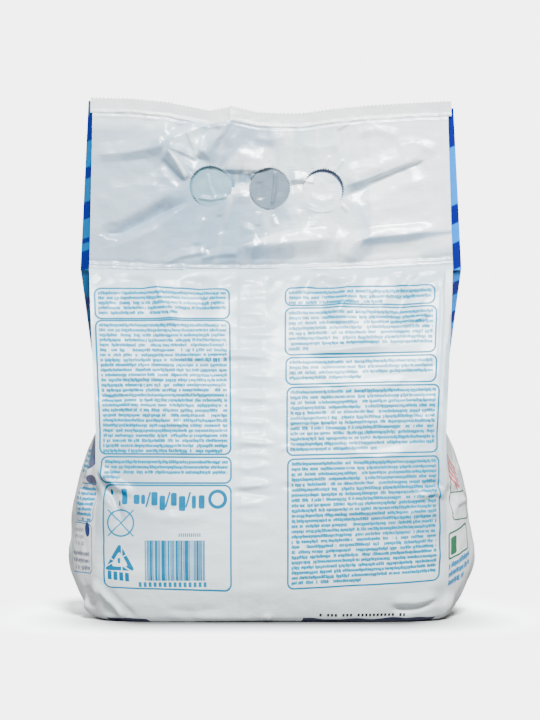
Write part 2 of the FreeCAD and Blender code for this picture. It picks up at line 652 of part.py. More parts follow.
def main():
    doc = FreeCAD.newDocument("powder_bag")
    sheet = make_sheet(doc)

    def size(alias):
        return millimetres(sheet.get(alias))

    pouch = Pouch(size)
    filled = add_shape(doc, "filled_pouch", pouch.solid())
    film = add_shape(doc, "header_film", header_solid(size))
    plates = add_plates(doc, size)
    slots = add_slots(doc, size)
    recesses, discs = add_finger_discs(doc, size)
    lines = add_fold_lines(doc, size)
    puckers = add_puckers(doc, size, pouch)
    ears = add_ears(doc, size, pouch)
    doc.recompute()
    round_cuts = doc.addObject("Part::Compound", "round_cuts")
    round_cuts.Links = recesses
    perforated = doc.addObject("Part::Cut", "perforated_film")
    perforated.Base, perforated.Tool = film, round_cuts
    joined = doc.addObject("Part::MultiFuse", "film_and_powder")
    joined.Shapes = [filled, perforated] + discs + plates + puckers + ears
    straight_cuts = doc.addObject("Part::Compound", "straight_cuts")
    straight_cuts.Links = slots + lines
    bag = doc.addObject("Part::Cut", "bag")
    bag.Label = "bag"
    bag.Base, bag.Tool = joined, straight_cuts
    bag.Placement = FreeCAD.Placement()
    doc.recompute()

    check(doc, [bag])
    os.makedirs("parts", exist_ok=True)
    bag.Shape.exportStep("parts/bag.step")
    box = bag.Shape.BoundBox
    print("bag: %.1f x %.1f x %.1f mm, lowest %.3f, volume %.0f ml, %d faces" % (
        box.XLength, box.YLength, box.ZLength, box.ZMin, bag.Shape.Volume / 1000,
        len(bag.Shape.Faces)))


main()
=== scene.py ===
import math

import bpy
import numpy as np
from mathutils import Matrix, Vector


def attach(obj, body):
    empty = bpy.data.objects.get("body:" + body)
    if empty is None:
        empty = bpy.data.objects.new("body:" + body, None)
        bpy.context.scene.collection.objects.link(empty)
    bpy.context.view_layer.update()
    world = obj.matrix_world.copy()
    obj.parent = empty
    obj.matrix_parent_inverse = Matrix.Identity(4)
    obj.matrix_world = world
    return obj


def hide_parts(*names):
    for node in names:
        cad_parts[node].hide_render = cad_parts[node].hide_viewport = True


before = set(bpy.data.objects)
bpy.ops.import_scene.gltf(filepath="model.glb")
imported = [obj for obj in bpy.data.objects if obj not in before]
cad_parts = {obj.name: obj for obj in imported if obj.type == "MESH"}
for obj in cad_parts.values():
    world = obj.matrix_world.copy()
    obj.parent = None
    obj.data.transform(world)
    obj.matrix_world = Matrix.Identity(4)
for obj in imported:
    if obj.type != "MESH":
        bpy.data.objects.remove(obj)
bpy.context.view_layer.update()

MM = 0.001
rng = np.random.default_rng(11)

# Sizes of the bag in millimetres, as in the construction.
PANEL_HALF, FOOT_HALF, WELD_HALF, HEADER_HALF = 90.0, 87.0, 95.4, 94.7
FLARE_WELD, FLARE_TOP = 4.8, 1.2
FOOT_DEPTH, BELLY_DEPTH, BELLY_Z = 35.0, 42.0, 34.0
FOOT_BULGE, BELLY_BULGE, APEX_Z = 5.0, 16.0, 98.0
GUSSET_HALF, TUCK_RUN, SET_BACK, CORNER_POWER, BOW = 39.0, 26.0, 9.0, 8.0, 3.6
POUCH_Z, WELD_Z, WELD_SAG, WELD_THICK, SHEET_THICK = 181.6, 184.9, 4.2, 1.6, 1.2
BAND_H, TOOTH_PITCH, TOOTH_DEPTH = 7.8, 2.0, 0.9
SEAM_L, SEAM_R = -16.6, -2.8
DISC_R = 10.7


def smooth(t):
    t = np.clip(t, 0, 1)
    return t * t * (3 - 2 * t)


def mix(a, b, t):
    return a + (b - a) * t


# The pouch's form, the same as in the construction.
def roundness(z):
    return smooth((APEX_Z - z) / (APEX_Z - BELLY_Z) + 0.12)


def lift(z):
    return np.maximum(0, (z - APEX_Z) / (POUCH_Z - APEX_Z))


def half_depth(z):
    low = BELLY_DEPTH - (BELLY_DEPTH - FOOT_DEPTH) * np.clip((BELLY_Z - z) / BELLY_Z, 0, 1) ** 2.4
    quarter = math.pi / 2 * np.clip((z - BELLY_Z) / (POUCH_Z - BELLY_Z), 0, 1)
    high = WELD_THICK + (BELLY_DEPTH - WELD_THICK) * np.maximum(0, np.cos(quarter)) ** 0.9
    return np.where(z < BELLY_Z, low, high)


def corner_depth(z):
    depth = half_depth(z)
    bow = np.minimum(BOW, 0.2 * depth) * (1 - lift(z))
    return depth - mix(bow, SET_BACK, roundness(z))


def text_half(z):
    low = mix(FOOT_HALF, PANEL_HALF, 1 - (1 - np.minimum(1, z / BELLY_Z)) ** 2)
    return np.where(z < APEX_Z, low, mix(PANEL_HALF, WELD_HALF, lift(z)))


def picture_half(z):
    return text_half(z) + FLARE_WELD * lift(z) ** 0.6


def gusset_half(z):
    rise = np.clip((z - BELLY_Z) / (APEX_Z - BELLY_Z), 0, 1)
    low = BELLY_BULGE - (BELLY_BULGE - FOOT_BULGE) * np.clip((BELLY_Z - z) / BELLY_Z, 0, 1) ** 2.4
    middle = BELLY_BULGE * (1 - rise ** 2) ** 0.85
    folded = np.sqrt(np.maximum(0, GUSSET_HALF ** 2 - corner_depth(z) ** 2))
    high = -folded * smooth((z - APEX_Z) / TUCK_RUN)
    return text_half(z) + np.where(z < BELLY_Z, low, np.where(z < APEX_Z, middle, high))


def panel_depth(share, z):
    depth, corner = half_depth(z), corner_depth(z)
    power = mix(2.0, CORNER_POWER, roundness(z))
    return corner + (depth - corner) * (1 - np.minimum(1, np.abs(share)) ** power)


def gusset_point(z, half, share):
    start, end = np.stack([half, corner_depth(z)], -1), np.stack([gusset_half(z), 0 * z], -1)
    along = end - start
    length = np.linalg.norm(along, axis=-1, keepdims=True)
    turn = roundness(z)[..., None]
    first = mix(along / length, np.array([math.sqrt(0.5), -math.sqrt(0.5)]), turn)
    last = mix(along / length, np.array([0.0, -1.0]), turn)
    first /= np.linalg.norm(first, axis=-1, keepdims=True)
    last /= np.linalg.norm(last, axis=-1, keepdims=True)
    near, far = start + first * 0.36 * length, end - last * 0.36 * length
    s = share[..., None]
    r = 1 - s
    p = r ** 3 * start + 3 * r * r * s * near + 3 * r * s * s * far + s ** 3 * end
    return p[..., 0], p[..., 1]


def weld_line(x):
    sag = np.cos(math.pi / 2 * np.minimum(1, np.abs(x + 0.2 * WELD_HALF) / (1.2 * WELD_HALF)))
    return WELD_Z - WELD_SAG * sag


# The header's facets: corners as x, height and place behind the middle plane, noted on a sheet
# of their own and laid out to the header's real size.
def laid(x, z):
    return x * WELD_HALF / 92.7, POUCH_Z + 1.2 + (z - 181.2) * 81.4 / 78.6


SEAL = [(-92, 259.8, 0), (-71, 259.3, 0), (-53, 257.6, 0.4), (-41, 255.2, 0.8), (-31, 253.3, 1.1),
        (-20, 255.4, -1.8), (-7, 252.4, -0.7), (6, 251.8, -0.6), (16, 251.9, -0.6),
        (30, 253.9, -0.6), (51, 255.9, -0.5), (70, 257.0, -0.2), (92, 258.0, 0)]
SIDES = [(s * x, z, 0) for s in (-1, 1) for x, z in ((92.6, 200), (92.4, 220), (92.2, 240))]
WELD_PLACES = (-92.7, -75, -58, -44, -30, -15, 0, 14, 28, 41, 56, 75, 92.7)
INNER = [
    (-80, 237, -0.3), (-66, 241, -1.2), (-53.5, 244, -2.6), (-70, 250, 0.4), (-50, 251.5, 0.6),
    (-74, 225, 0.6), (-60, 229, 0.5), (-48, 236.5, -2.0), (-54, 233, 0.8), (-43.5, 237.5, 1.0),
    (-36.6, 236.4, 1.6), (-42, 246, -0.2), (-32, 246, 1.2), (-27.5, 250.5, 1.5),
    (-56, 210.5, 1.8), (-66, 204.5, 1.6), (-76, 200.5, 1.0), (-85, 203, 0.3), (-51, 219.5, -0.6),
    (-62, 213, -0.8), (-74, 207, -0.5), (-50, 207, -1.0), (-60, 200, -1.0), (-70, 195.5, -0.6),
    (-33.2, 238, -1.4), (-28, 246, -2.6), (-23.5, 251.5, -2.9), (-12, 246, -0.6), (0, 242, -0.2),
    (-16, 238, -1.9), (-8, 235.5, -2.0), (4, 248, -0.9), (-16, 230.2, 1.3), (-17, 225.5, 0.6),
    (-15.8, 221, -1.8), (-16, 214, -0.2), (12.8, 232.5, 0.3), (13, 222, -1.5), (12.8, 213, -0.2),
    (20, 244, -0.6), (40, 245, 0.4), (60, 247, -0.5), (76, 246, 0.3), (52, 225.3, 1.5),
    (66, 230.5, 0.9), (80, 235.6, 0.1), (43, 227, -0.7), (54, 231.5, -0.6), (68, 236.5, -0.4),
    (44, 214.5, -1.1), (56, 219, -1.2), (72, 226, -0.6), (82, 217, 0.2),
    (44.5, 194, -1.9), (52, 198.5, -2.2), (62, 200.5, -1.6), (84, 201, -0.5), (55, 190, 0.9),
    (70, 191, 0.8), (35, 202, 0.6), (60, 208, 0), (-13, 191, -1.8), (5, 196.5, -2.4),
    (18, 199.5, -2.2), (32, 194.5, -1.5), (-5, 187, 0.7), (14, 187, 0.9), (28, 188, 0.5),
    (0, 205, 0.2), (20, 207.5, 0.1), (-25, 200, 0.4), (-40, 197, 0.6), (-30, 188, -0.4),
    (-54, 189, 0.5), (-80, 190, 0.3),
]
DISCS = [
    ("left", -31.1, 222.0, (0.4, 0.2, -0.6, -0.7, -0.4, 0.6, -0.2, -0.5)),
    ("middle", -0.7, 221.0, (-0.5, 0.2, -0.2, 0.1, -0.5, -0.3, 0.1, 0.0)),
    ("right", 26.7, 220.5, (0.5, -0.1, 0.5, 0.2, -0.6, -0.4, -0.3, 0.1)),
]


SEAL_X, SEAL_Z = zip(*[laid(x, z) for x, z, _ in SEAL])


def seal_line(x):
    return np.interp(x, SEAL_X, SEAL_Z)


def delaunay(points):
    """Triangles between points of a plane, grown one point at a time."""
    far = 5000.0
    work = [tuple(p) for p in points] + [(-far, -far), (far, -far), (0.0, far)]
    n = len(points)

    def circle(t):
        (ax, ay), (bx, by), (cx, cy) = [work[i] for i in t]
        d = 2 * (ax * (by - cy) + bx * (cy - ay) + cx * (ay - by))
        if abs(d) < 1e-9:
            return 0.0, 0.0, float("inf")
        a, b, c = ax * ax + ay * ay, bx * bx + by * by, cx * cx + cy * cy
        x = (a * (by - cy) + b * (cy - ay) + c * (ay - by)) / d
        y = (a * (cx - bx) + b * (ax - cx) + c * (bx - ax)) / d
        return x, y, (ax - x) ** 2 + (ay - y) ** 2

    found = {(n, n + 1, n + 2): circle((n, n + 1, n + 2))}
    for i in range(n):
        px, py = work[i]
        bad = [t for t, (x, y, r) in found.items() if (px - x) ** 2 + (py - y) ** 2 < r - 1e-9]
        edges = {}
        for t in bad:
            del found[t]
            for a, b in zip(t, t[1:] + t[:1]):
                key = (min(a, b), max(a, b))
                edges[key] = edges.get(key, 0) + 1
        for (a, b), uses in edges.items():
            if uses == 1:
                found[(a, b, i)] = circle((a, b, i))
    return [t for t in found if max(t) < n]


# A map of the header's relief on a fine grid, which every header piece reads.
STEP = 0.4
GX, GZ = np.arange(-104, 104.01, STEP), np.arange(174, 284.01, STEP)


def blur(a, mm):
    """Smooths a grid by about mm, two passes of a box."""
    k = max(1, int(round(mm / STEP)))
    kernel = np.ones(2 * k + 1) / (2 * k + 1)
    for _ in range(2):
        for axis in (0, 1):
            pad = [(0, 0), (0, 0)]
            pad[axis] = (k, k)
            a = np.apply_along_axis(lambda v: np.convolve(v, kernel, "valid"), axis,
                                    np.pad(a, pad, mode="edge"))
    return a


def noise_map(shape, cell_x, cell_z):
    """Smooth random numbers from -1 to 1 with features about one cell large."""
    nx, nz = int(shape[0] * STEP / cell_x) + 4, int(shape[1] * STEP / cell_z) + 4
    grid = rng.uniform(-1, 1, (nx, nz))
    fx, fz = np.arange(shape[0]) * STEP / cell_x, np.arange(shape[1]) * STEP / cell_z
    ix, iz = fx.astype(int), fz.astype(int)
    tx, tz = smooth(fx - ix)[:, None], smooth(fz - iz)[None, :]
    g = grid[np.ix_(ix, iz)], grid[np.ix_(ix + 1, iz)], grid[np.ix_(ix, iz + 1)], grid[np.ix_(ix + 1, iz + 1)]
    return (g[0] * (1 - tx) + g[1] * tx) * (1 - tz) + (g[2] * (1 - tx) + g[3] * tx) * tz


def header_map():
    noted = [(x, 180.4, 0.0) for x in WELD_PLACES] + SIDES + SEAL + INNER
    noted += [(x, 278, y) for x, _, y in SEAL] + [(x, 172, 0) for x in WELD_PLACES]
    noted += [(s * 103, z, 0) for s in (-1, 1) for z in (172, 200, 225, 250, 278)]
    corners = [laid(x, z) + (y,) for x, z, y in noted]
    for _, x, z, places in DISCS:
        x, z = laid(x, z)
        corners.append((x, z, 0.0))
        for i, place in enumerate(places):
            a = math.radians(45 * i)
            corners.append((x + 12.0 * math.cos(a), z + 12.0 * math.sin(a), place))
    relief = np.zeros((len(GX), len(GZ)))
    p = np.array(corners, float)
    for a, b, c in delaunay([(x, z) for x, z, _ in corners]):
        (x0, z0, y0), (x1, z1, y1), (x2, z2, y2) = p[a], p[b], p[c]
        area = (x1 - x0) * (z2 - z0) - (x2 - x0) * (z1 - z0)
        if abs(area) < 1e-6:
            continue
        i0, i1 = np.searchsorted(GX, [min(x0, x1, x2) - STEP, max(x0, x1, x2) + STEP])
        j0, j1 = np.searchsorted(GZ, [min(z0, z1, z2) - STEP, max(z0, z1, z2) + STEP])
        X, Z = np.meshgrid(GX[i0:i1], GZ[j0:j1], indexing="ij")
        w1 = ((X - x0) * (z2 - z0) - (x2 - x0) * (Z - z0)) / area
        w2 = ((x1 - x0) * (Z - z0) - (X - x0) * (z1 - z0)) / area
        inside = (w1 >= -1e-6) & (w2 >= -1e-6) & (w1 + w2 <= 1 + 1e-6)
        patch = relief[i0:i1, j0:j1]
        patch[inside] = (y0 + w1 * (y1 - y0) + w2 * (y2 - y0))[inside]
    return relief


def segment(X, Z, x0, z0, x1, z1):
    """Share along a segment and distance from it."""
    dx, dz = x1 - x0, z1 - z0
    share = np.clip(((X - x0) * dx + (Z - z0) * dz) / (dx * dx + dz * dz), 0, 1)
    return share, np.hypot(X - x0 - share * dx, Z - z0 - share * dz)


def fold(X, Z, line, rise, left, right, sharp=1.12, ends=0.15):
    """A ridge (rise below zero) or a groove along a line, with its own width at each side."""
    out = np.zeros_like(X)
    count = len(line) - 1
    for i, ((x0, z0), (x1, z1)) in enumerate(zip(line, line[1:])):
        share, away = segment(X, Z, x0, z0, x1, z1)
        side = (x1 - x0) * (Z - z0) - (z1 - z0) * (X - x0)
        t = (share + i) / count
        size = smooth(t / max(ends, 1e-3)) * smooth((1 - t) / max(ends, 1e-3))
        bump = np.maximum(0, 1 - away / np.where(side > 0, left, right)) ** sharp * size
        out = np.maximum(out, bump)
    return rise * out


def value_noise(u, v, cell_u, cell_v, seed):
    """Smooth random numbers from -1 to 1 at any film place."""
    table = np.random.default_rng(seed).uniform(-1, 1, (128, 128))
    fu, fv = u / cell_u + 1000, v / cell_v + 1000
    iu, iv = np.floor(fu).astype(int), np.floor(fv).astype(int)
    tu, tv = smooth(fu - iu), smooth(fv - iv)
    g = lambda a, b: table[(iu + a) % 128, (iv + b) % 128]
    return mix(mix(g(0, 0), g(1, 0), tu), mix(g(0, 1), g(1, 1), tu), tv)


def sample(grid, x, z):
    fx, fz = (x - GX[0]) / STEP, (z - GZ[0]) / STEP
    ix = np.clip(fx.astype(int), 0, len(GX) - 2)
    iz = np.clip(fz.astype(int), 0, len(GZ) - 2)
    tx, tz = np.clip(fx - ix, 0, 1), np.clip(fz - iz, 0, 1)
    return ((grid[ix, iz] * (1 - tx) + grid[ix + 1, iz] * tx) * (1 - tz)
            + (grid[ix, iz + 1] * (1 - tx) + grid[ix + 1, iz + 1] * tx) * tz)


# Folds of the header: line of places, rise (below zero stands out), width at its left (seen
# along the line) and at its right.
HEADER_FOLDS = [
    ([(-19.6, 266.4), (-27.2, 257.5), (-32.4, 249.0), (-38.3, 239.2)], -2.3, 9, 4),
    ([(-16.7, 262.7), (-23.3, 252.3), (-29.8, 241.8)], 0.9, 5, 4),
    ([(-55.3, 246.2), (-46.8, 242.8), (-38.3, 238.9)], -1.3, 4, 1.2),
    ([(-54.9, 245.7), (-48.8, 237.9), (-42.9, 228.7)], -2.0, 2.6, 6), ([(-51.8, 242.8), (-40.9, 231.3)], 0.7, 1.6, 1.2),
    ([(-55.3, 249.1), (-44.2, 252.9), (-32.4, 257.5), (-23.9, 262.1)], -1.5, 5, 3.5),
    ([(-44.2, 255.5), (-41.3, 247.7), (-38.4, 239.4)], -0.9, 1.6, 2.2), ([(-35.4, 255.5), (-37.7, 239.4)], -0.7, 1.4, 1.8),
    ([(-57.3, 239.2), (-51.4, 233.3), (-44.8, 226.8)], 0.9, 1.5, 5),
    ([(-95.2, 241.1), (-74.3, 242.8), (-61.2, 245.1), (-55.3, 246.8)], -1.5, 6.5, 4.5),
    ([(-80.8, 237.9), (-66.4, 239.2), (-57.3, 233.9)], 0.6, 5, 5),
    ([(-42.9, 218.0), (-54.7, 212.1), (-63.8, 207.1), (-72.3, 203.0), (-78.8, 200.2), (-84.7, 199.9), (-88.4, 202.6)], 2.8, 2.6, 6.5),
    ([(-57.3, 203.9), (-74.3, 196.0), (-88.7, 192.1)], -0.6, 5, 6),
    ([(-25.6, 233.8), (-16.7, 233.6), (-7.3, 233.3), (1.6, 235.5)], -1.9, 11, 1.6),
    ([(-22.0, 225.6), (-15.4, 226.4), (-8.9, 228.5)], 2.3, 7.5, 4.5), ([(-20.4, 219.6), (-10.2, 219.6)], -0.8, 3, 4),
    ([(9.7, 225.1), (17.9, 226.9)], 1.8, 2.6, 4.5), ([(10.2, 228.5), (23.8, 226.9)], -0.9, 5, 1.4),
    ([(38.5, 224.8), (53.9, 229.8), (69.6, 235.9), (81.4, 239.3)], -1.5, 11, 1.4),
    ([(38.5, 219.8), (53.9, 225.8), (69.6, 233.4), (81.6, 238.9)], 2.1, 3.4, 8.5),
    ([(-14.8, 192.4), (-1.0, 194.5), (14.7, 195.8), (34.0, 197.7)], -2.9, 6.5, 11),
    ([(-14.8, 186.9), (4.2, 186.9), (30.4, 188.2)], 0.8, 6, 4),
    ([(37.5, 184.5), (40.6, 191.4), (44.7, 196.3), (55.2, 198.6), (72.2, 199.7), (90.8, 202.8)], -2.1, 5.5, 9),
    ([(-57.3, 183.6), (-48.1, 188.2), (-32.4, 190.8)], -1.2, 4, 2), ([(-37.7, 186.9), (-27.2, 189.2), (-16.7, 189.7)], -1.0, 4, 2),
    ([(34.3, 254.2), (40.8, 258.8), (44.7, 261.4)], -1.0, 2.6, 1.6), ([(43.4, 252.3), (55.2, 254.9), (68.3, 250.9)], -0.8, 4, 4),
    ([(65.7, 245.7), (74.8, 247.7), (87.9, 243.1)], -0.9, 5, 6), ([(38.2, 233.3), (47.4, 235.3), (60.4, 233.9)], -0.6, 5, 4),
    ([(-8.9, 250.3), (-1.0, 249.0), (8.1, 250.9)], -0.9, 5, 4), ([(14.7, 246.4), (25.1, 245.1), (36.9, 247.0)], -0.6, 4, 4),
    ([(27.7, 233.9), (31.0, 241.1)], -0.8, 1.4, 1.8), ([(21.8, 233.9), (21.8, 239.8)], -0.5, 1.2, 1.6),
    ([(33.0, 232.9), (38.2, 239.2)], -0.7, 1.4, 1.8), ([(36.9, 215.6), (40.8, 211.7)], -0.8, 1.3, 1.5),
    ([(-6.3, 211.7), (-6.9, 203.9)], -0.9, 2.2, 2.8), ([(0.3, 210.4), (2.9, 203.9)], -0.7, 2.0, 2.4),
    ([(-35.0, 209.1), (-37.7, 201.3), (-39.0, 193.4)], -0.8, 3, 4), ([(-27.2, 210.4), (-24.6, 199.9)], 0.7, 3, 4),
    ([(-87.3, 222.2), (-71.7, 226.1), (-57.3, 224.8)], -0.6, 7, 6), ([(-16.7, 203.9), (-8.9, 201.3), (-3.7, 193.4)], -0.8, 4, 5),
    ([(50.0, 211.7), (67.0, 214.3), (86.6, 219.6)], -0.7, 7, 6), ([(-27.2, 250.9), (-22.0, 243.1)], 0.6, 4, 4),
]


def make_relief():
    relief = 1.05 * blur(header_map(), 0.8)
    X, Z = np.meshgrid(GX, GZ, indexing="ij")
    shape = X.shape
    edge = smooth((WELD_HALF - 1.5 - np.abs(X)) / 7)
    above = Z - weld_line(X)
    below = seal_line(X) - Z
    inside = smooth((below + 0.6) / 2.0)
    for line, rise, left, right in HEADER_FOLDS:
        relief += fold(X, Z, line, 1.15 * rise, left, right) * edge * (0.25 + 0.75 * inside)
    relief += edge * (0.30 * noise_map(shape, 15, 9) + 0.15 * noise_map(shape, 6, 4) + 0.05 * noise_map(shape, 2.2, 1.8))
    pleats = noise_map(shape, 3.0, 60) + 0.6 * noise_map(shape, 7.0, 50)
    relief += 0.5 * pleats * np.exp(-np.maximum(above, 0) / 3.0) * edge * (above > 0.8)
    puckers = noise_map(shape, 3.6, 50) + 0.7 * noise_map(shape, 9.0, 50)
    relief += 0.45 * puckers * np.exp(-np.maximum(below, 0) / 2.2) * (below > 0) * edge
    line = below - 0.35 * noise_map(shape, 8, 60)
    uneven = 1 + 0.5 * noise_map(shape, 5, 60)
    relief += uneven * (0.75 * np.exp(-((line - 0.8) / 0.45) ** 2) - 0.25 * np.exp(-((line - 1.9) / 0.6) ** 2))
    seam = smooth((X - SEAM_L) / 0.5) * smooth((SEAM_R - X) / 0.9)
    relief -= 0.20 * seam
    corner = X - mix(93.6, 89.4, np.clip((Z - 185) / 78, 0, 1))
    relief -= 0.5 * np.exp(-(corner / 0.8) ** 2)
    return relief


RELIEF = make_relief()


def film_y(x, z):
    """Where the header's front film lies, with the bead of the shoulder weld."""
    away = z - weld_line(x)
    pucker = value_noise(x, z, 2.6, 40, 21) + value_noise(x, z, 7.0, 40, 22)
    bead = 0.60 * np.exp(-((away - 0.15 * pucker) / 0.45) ** 2) * (1 + 0.4 * pucker)
    bead = bead + 0.30 * np.exp(-((away - 1.7 - 0.2 * pucker) / 0.45) ** 2)
    dent = 0.35 * np.exp(-((away - 0.85 - 0.2 * pucker) / 0.40) ** 2) + 0.5 * np.exp(-((away - 3.2 - 0.5 * pucker) / 0.9) ** 2)
    quiet = smooth((away + 0.5) / 4)
    return sample(RELIEF, x, z) * quiet - mix(1.7, SHEET_THICK, quiet) - bead + dent


# Building meshes.
def grid_faces(rows, cols, wrap=False):
    r, c = np.arange(rows - 1)[:, None], np.arange(cols if wrap else cols - 1)[None, :]
    nxt = (c + 1) % cols
    return np.stack([r * cols + c, r * cols + nxt, (r + 1) * cols + nxt, (r + 1) * cols + c], -1).reshape(-1, 4)


def make_object(name, verts, faces, uv, material, smooth_angle=None):
    mesh = bpy.data.meshes.new(name)
    mesh.from_pydata([tuple(v) for v in np.asarray(verts, float) * MM], [], [tuple(int(i) for i in f) for f in faces])
    layer = mesh.uv_layers.new(name="film")
    loops = np.array([l.vertex_index for l in mesh.loops])
    layer.data.foreach_set("uv", (np.asarray(uv, float)[loops] / 100).astype(np.float32).ravel())
    mesh.polygons.foreach_set("use_smooth", [True] * len(mesh.polygons))
    mesh.materials.append(material)
    mesh.update()
    obj = bpy.data.objects.new(name, mesh)
    bpy.context.scene.collection.objects.link(obj)
    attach(obj, "root")
    return obj


def normals_of(P):
    """Unit normals of a grid of points, rows upwards and columns along the film."""
    du, dv = np.gradient(P, axis=1), np.gradient(P, axis=0)
    n = np.cross(du, dv)
    return n / np.maximum(np.linalg.norm(n, axis=-1, keepdims=True), 1e-9)


# Folds of the text panel: line of film places, rise (below zero stands out), width at its left
# (seen along the line) and at its right.
TEXT_FOLDS = [
    ([(-60, 181), (-54, 165), (-46, 150)], -1.3, 9, 7), ([(-36, 180), (-35, 168), (-33, 156)], 1.1, 8, 9),
    ([(40, 180), (36, 165), (30, 152)], -1.2, 10, 8), ([(70, 180), (66, 165), (60, 150)], 1.2, 10, 9),
    ([(-50, 134.8), (-34, 134.2), (-18, 135.6), (-1, 135.2)], -1.2, 4.0, 1.3),
    ([(18, 138.5), (34, 139.0), (48, 140.6), (60, 140.8)], -1.2, 4.5, 1.6), ([(14, 134.6), (60, 137.0)], 0.6, 2.2, 4),
    ([(6, 101.6), (18, 101.2), (31, 102.6)], -0.9, 3.5, 1.4), ([(-56, 100.2), (-45, 100.6)], -0.7, 3.0, 1.4),
    ([(64, 152.5), (72, 154.5), (80, 158)], -0.9, 3.6, 1.4), ([(-80, 127), (-66, 124.5), (-52, 126)], -0.6, 4.5, 3.0),
    ([(30, 121), (48, 119.5), (70, 122)], -0.6, 5.0, 3.0), ([(-84, 108), (-68, 110), (-58, 107)], -0.5, 4.5, 3.0),
    ([(36, 86), (54, 84), (76, 88)], -0.6, 5.0, 3.5), ([(22, 60), (48, 56), (64, 60)], -0.6, 7.0, 4.5),
    ([(40, 36), (60, 40), (80, 37)], -0.6, 7.0, 5.0), ([(-60, 92), (-44, 88), (-30, 91)], -0.5, 5.0, 3.0),
    ([(-94, 82), (-86, 75), (-78, 69), (-68, 64)], -2.2, 5.0, 2.2), ([(-90, 73), (-82, 66), (-78, 56), (-77, 48)], 1.8, 4.0, 3.6),
    ([(-86, 66), (-80, 58), (-78, 50)], -1.0, 2.4, 1.8), ([(-70, 63), (-56, 57.5), (-42, 60)], 0.8, 5.0, 4.0),
    ([(-60, 56), (-44, 53), (-30, 57)], -0.7, 7.0, 4.5), ([(92, 63), (84, 66.4), (72, 63)], -1.5, 2.2, 4.4),
    ([(92, 68), (84, 71), (76, 70)], 1.0, 2.6, 2.6), ([(88, 54), (76, 57), (66, 54)], -0.7, 3, 4),
    ([(90, 112), (80, 108), (70, 109)], 0.8, 4, 5), ([(-90, 118), (-82, 114), (-72, 115)], 0.9, 5, 4),
    ([(62, 7.0), (70, 6.6), (78, 7.4), (88, 11)], 1.7, 2.6, 2.2), ([(60, 11), (74, 10.6), (90, 14)], -0.9, 4.5, 3.0),
    ([(-4, 4.5), (0, 1.0)], -0.8, 3, 3), ([(-60, 7), (-40, 5.6), (-20, 7.4)], 0.5, 4, 3),
    ([(4, 70.5), (10, 69.5), (15, 70.5)], 0.6, 2.4, 2.4), ([(2, 88), (8, 89.5), (13, 90)], -0.6, 2.4, 2.0),
    ([(-89, 18), (-85, 12), (-80, 6), (-78, 1)], -1.4, 2.0, 2.6), ([(-86, 20), (-80, 12), (-74, 5), (-72, 1)], 0.6, 3.0, 4.0),
    ([(20, 177), (34, 172.5), (47, 177)], 1.3, 4.0, 7.0), ([(-40, 176), (-26, 172), (-12, 175)], 0.9, 4.0, 7.0),
    ([(58, 176), (72, 171), (86, 178)], -1.0, 4.0, 6.0), ([(-84, 173), (-70, 176), (-56, 172)], 0.8, 4.0, 5.0),
]
# Puckers across the lap seam: height, rise, half height, shift sideways.
PUCKERS = [
    (175, -0.5, 2.2, 0), (166, 0.6, 2.6, 1), (158, -0.6, 2.4, -1), (151, 0.9, 2.2, 1), (147, -0.8, 2.0, 3),
    (140, 0.5, 2.2, 0), (135.2, -1.5, 1.7, -1), (131, 0.8, 1.8, 0), (125.5, -0.9, 2.2, 2), (119, 0.7, 2.0, -1),
    (114.5, -1.2, 1.8, 0), (110.5, 0.7, 2.0, 2), (102, -1.1, 1.9, -1), (97, 0.6, 2.2, 0), (91.5, -1.3, 1.5, 1),
    (88.6, 0.9, 1.5, -1), (85.5, -0.5, 1.6, 2), (79.5, -0.9, 2.2, 0), (74.5, 0.6, 2.0, 1), (69.8, -1.6, 1.6, 0),
    (66.0, 1.0, 2.0, 1), (60.5, -0.8, 2.2, -2), (52, -0.5, 2.8, 0), (43, 0.4, 3.0, 1), (33, -0.4, 3.4, 0),
    (21, 0.3, 3.4, 0),
]


def text_relief(u, z):
    """How far the text panel's film stands out of its plain form."""
    out = np.zeros_like(u)
    for line, rise, left, right in TEXT_FOLDS:
        out += fold(u, z, line, 1.25 * rise, left, right, ends=0.3)
    middle = 0.5 * (SEAM_L + SEAM_R)
    for i, (height, rise, width, shift) in enumerate(PUCKERS):
        reach = smooth(1.25 - np.abs(u - middle - shift) / (9.5 + 1.5 * math.sin(2.3 * i)))
        lean = 0.10 * math.sin(3.1 * i)
        away = (z - height - lean * (u - middle) - 0.5 * value_noise(u, z, 6, 40, 31 + i)) / width
        out += rise * reach * np.where(away > 0, np.exp(-(away * 1.0) ** 2), np.exp(-(away * 1.8) ** 2))
    seam = smooth((u - SEAM_L) / 1.2) * smooth((SEAM_R - u) / 1.4)
    out -= 0.25 * seam
    drop = weld_line(u / 90 * WELD_HALF) - z
    shoulder = np.exp(-np.maximum(drop - 4, 0) / 9.0) * smooth((drop - 3) / 3)
    out += 1.15 * value_noise(u + 0.5 * drop, z, 5.5, 18, 5) * shoulder
    out += 0.40 * value_noise(u, z, 30, 8.5, 9) + 0.22 * value_noise(u, z, 14, 6, 6) + 0.10 * value_noise(u, z, 5.5, 3.2, 7)
    foot = np.exp(-np.maximum(z - 2, 0) / 6.0)
    out += 0.5 * value_noise(u, z, 7, 9, 8) * foot
    # The corners fall back in a crease of their own, the right one more than the left one.
    high = smooth((z - 50) / 40)
    crease = 85.2 - 1.2 * smooth((150 - z) / 60) + 0.5 * value_noise(u * 0, z, 5, 16, 44)
    out += high * 0.62 * np.maximum(0, u - crease) - high * 0.5 * np.exp(-((u - crease) / 1.1) ** 2)
    out += 0.22 * high * np.maximum(0, -u - 87.5)
    return -out


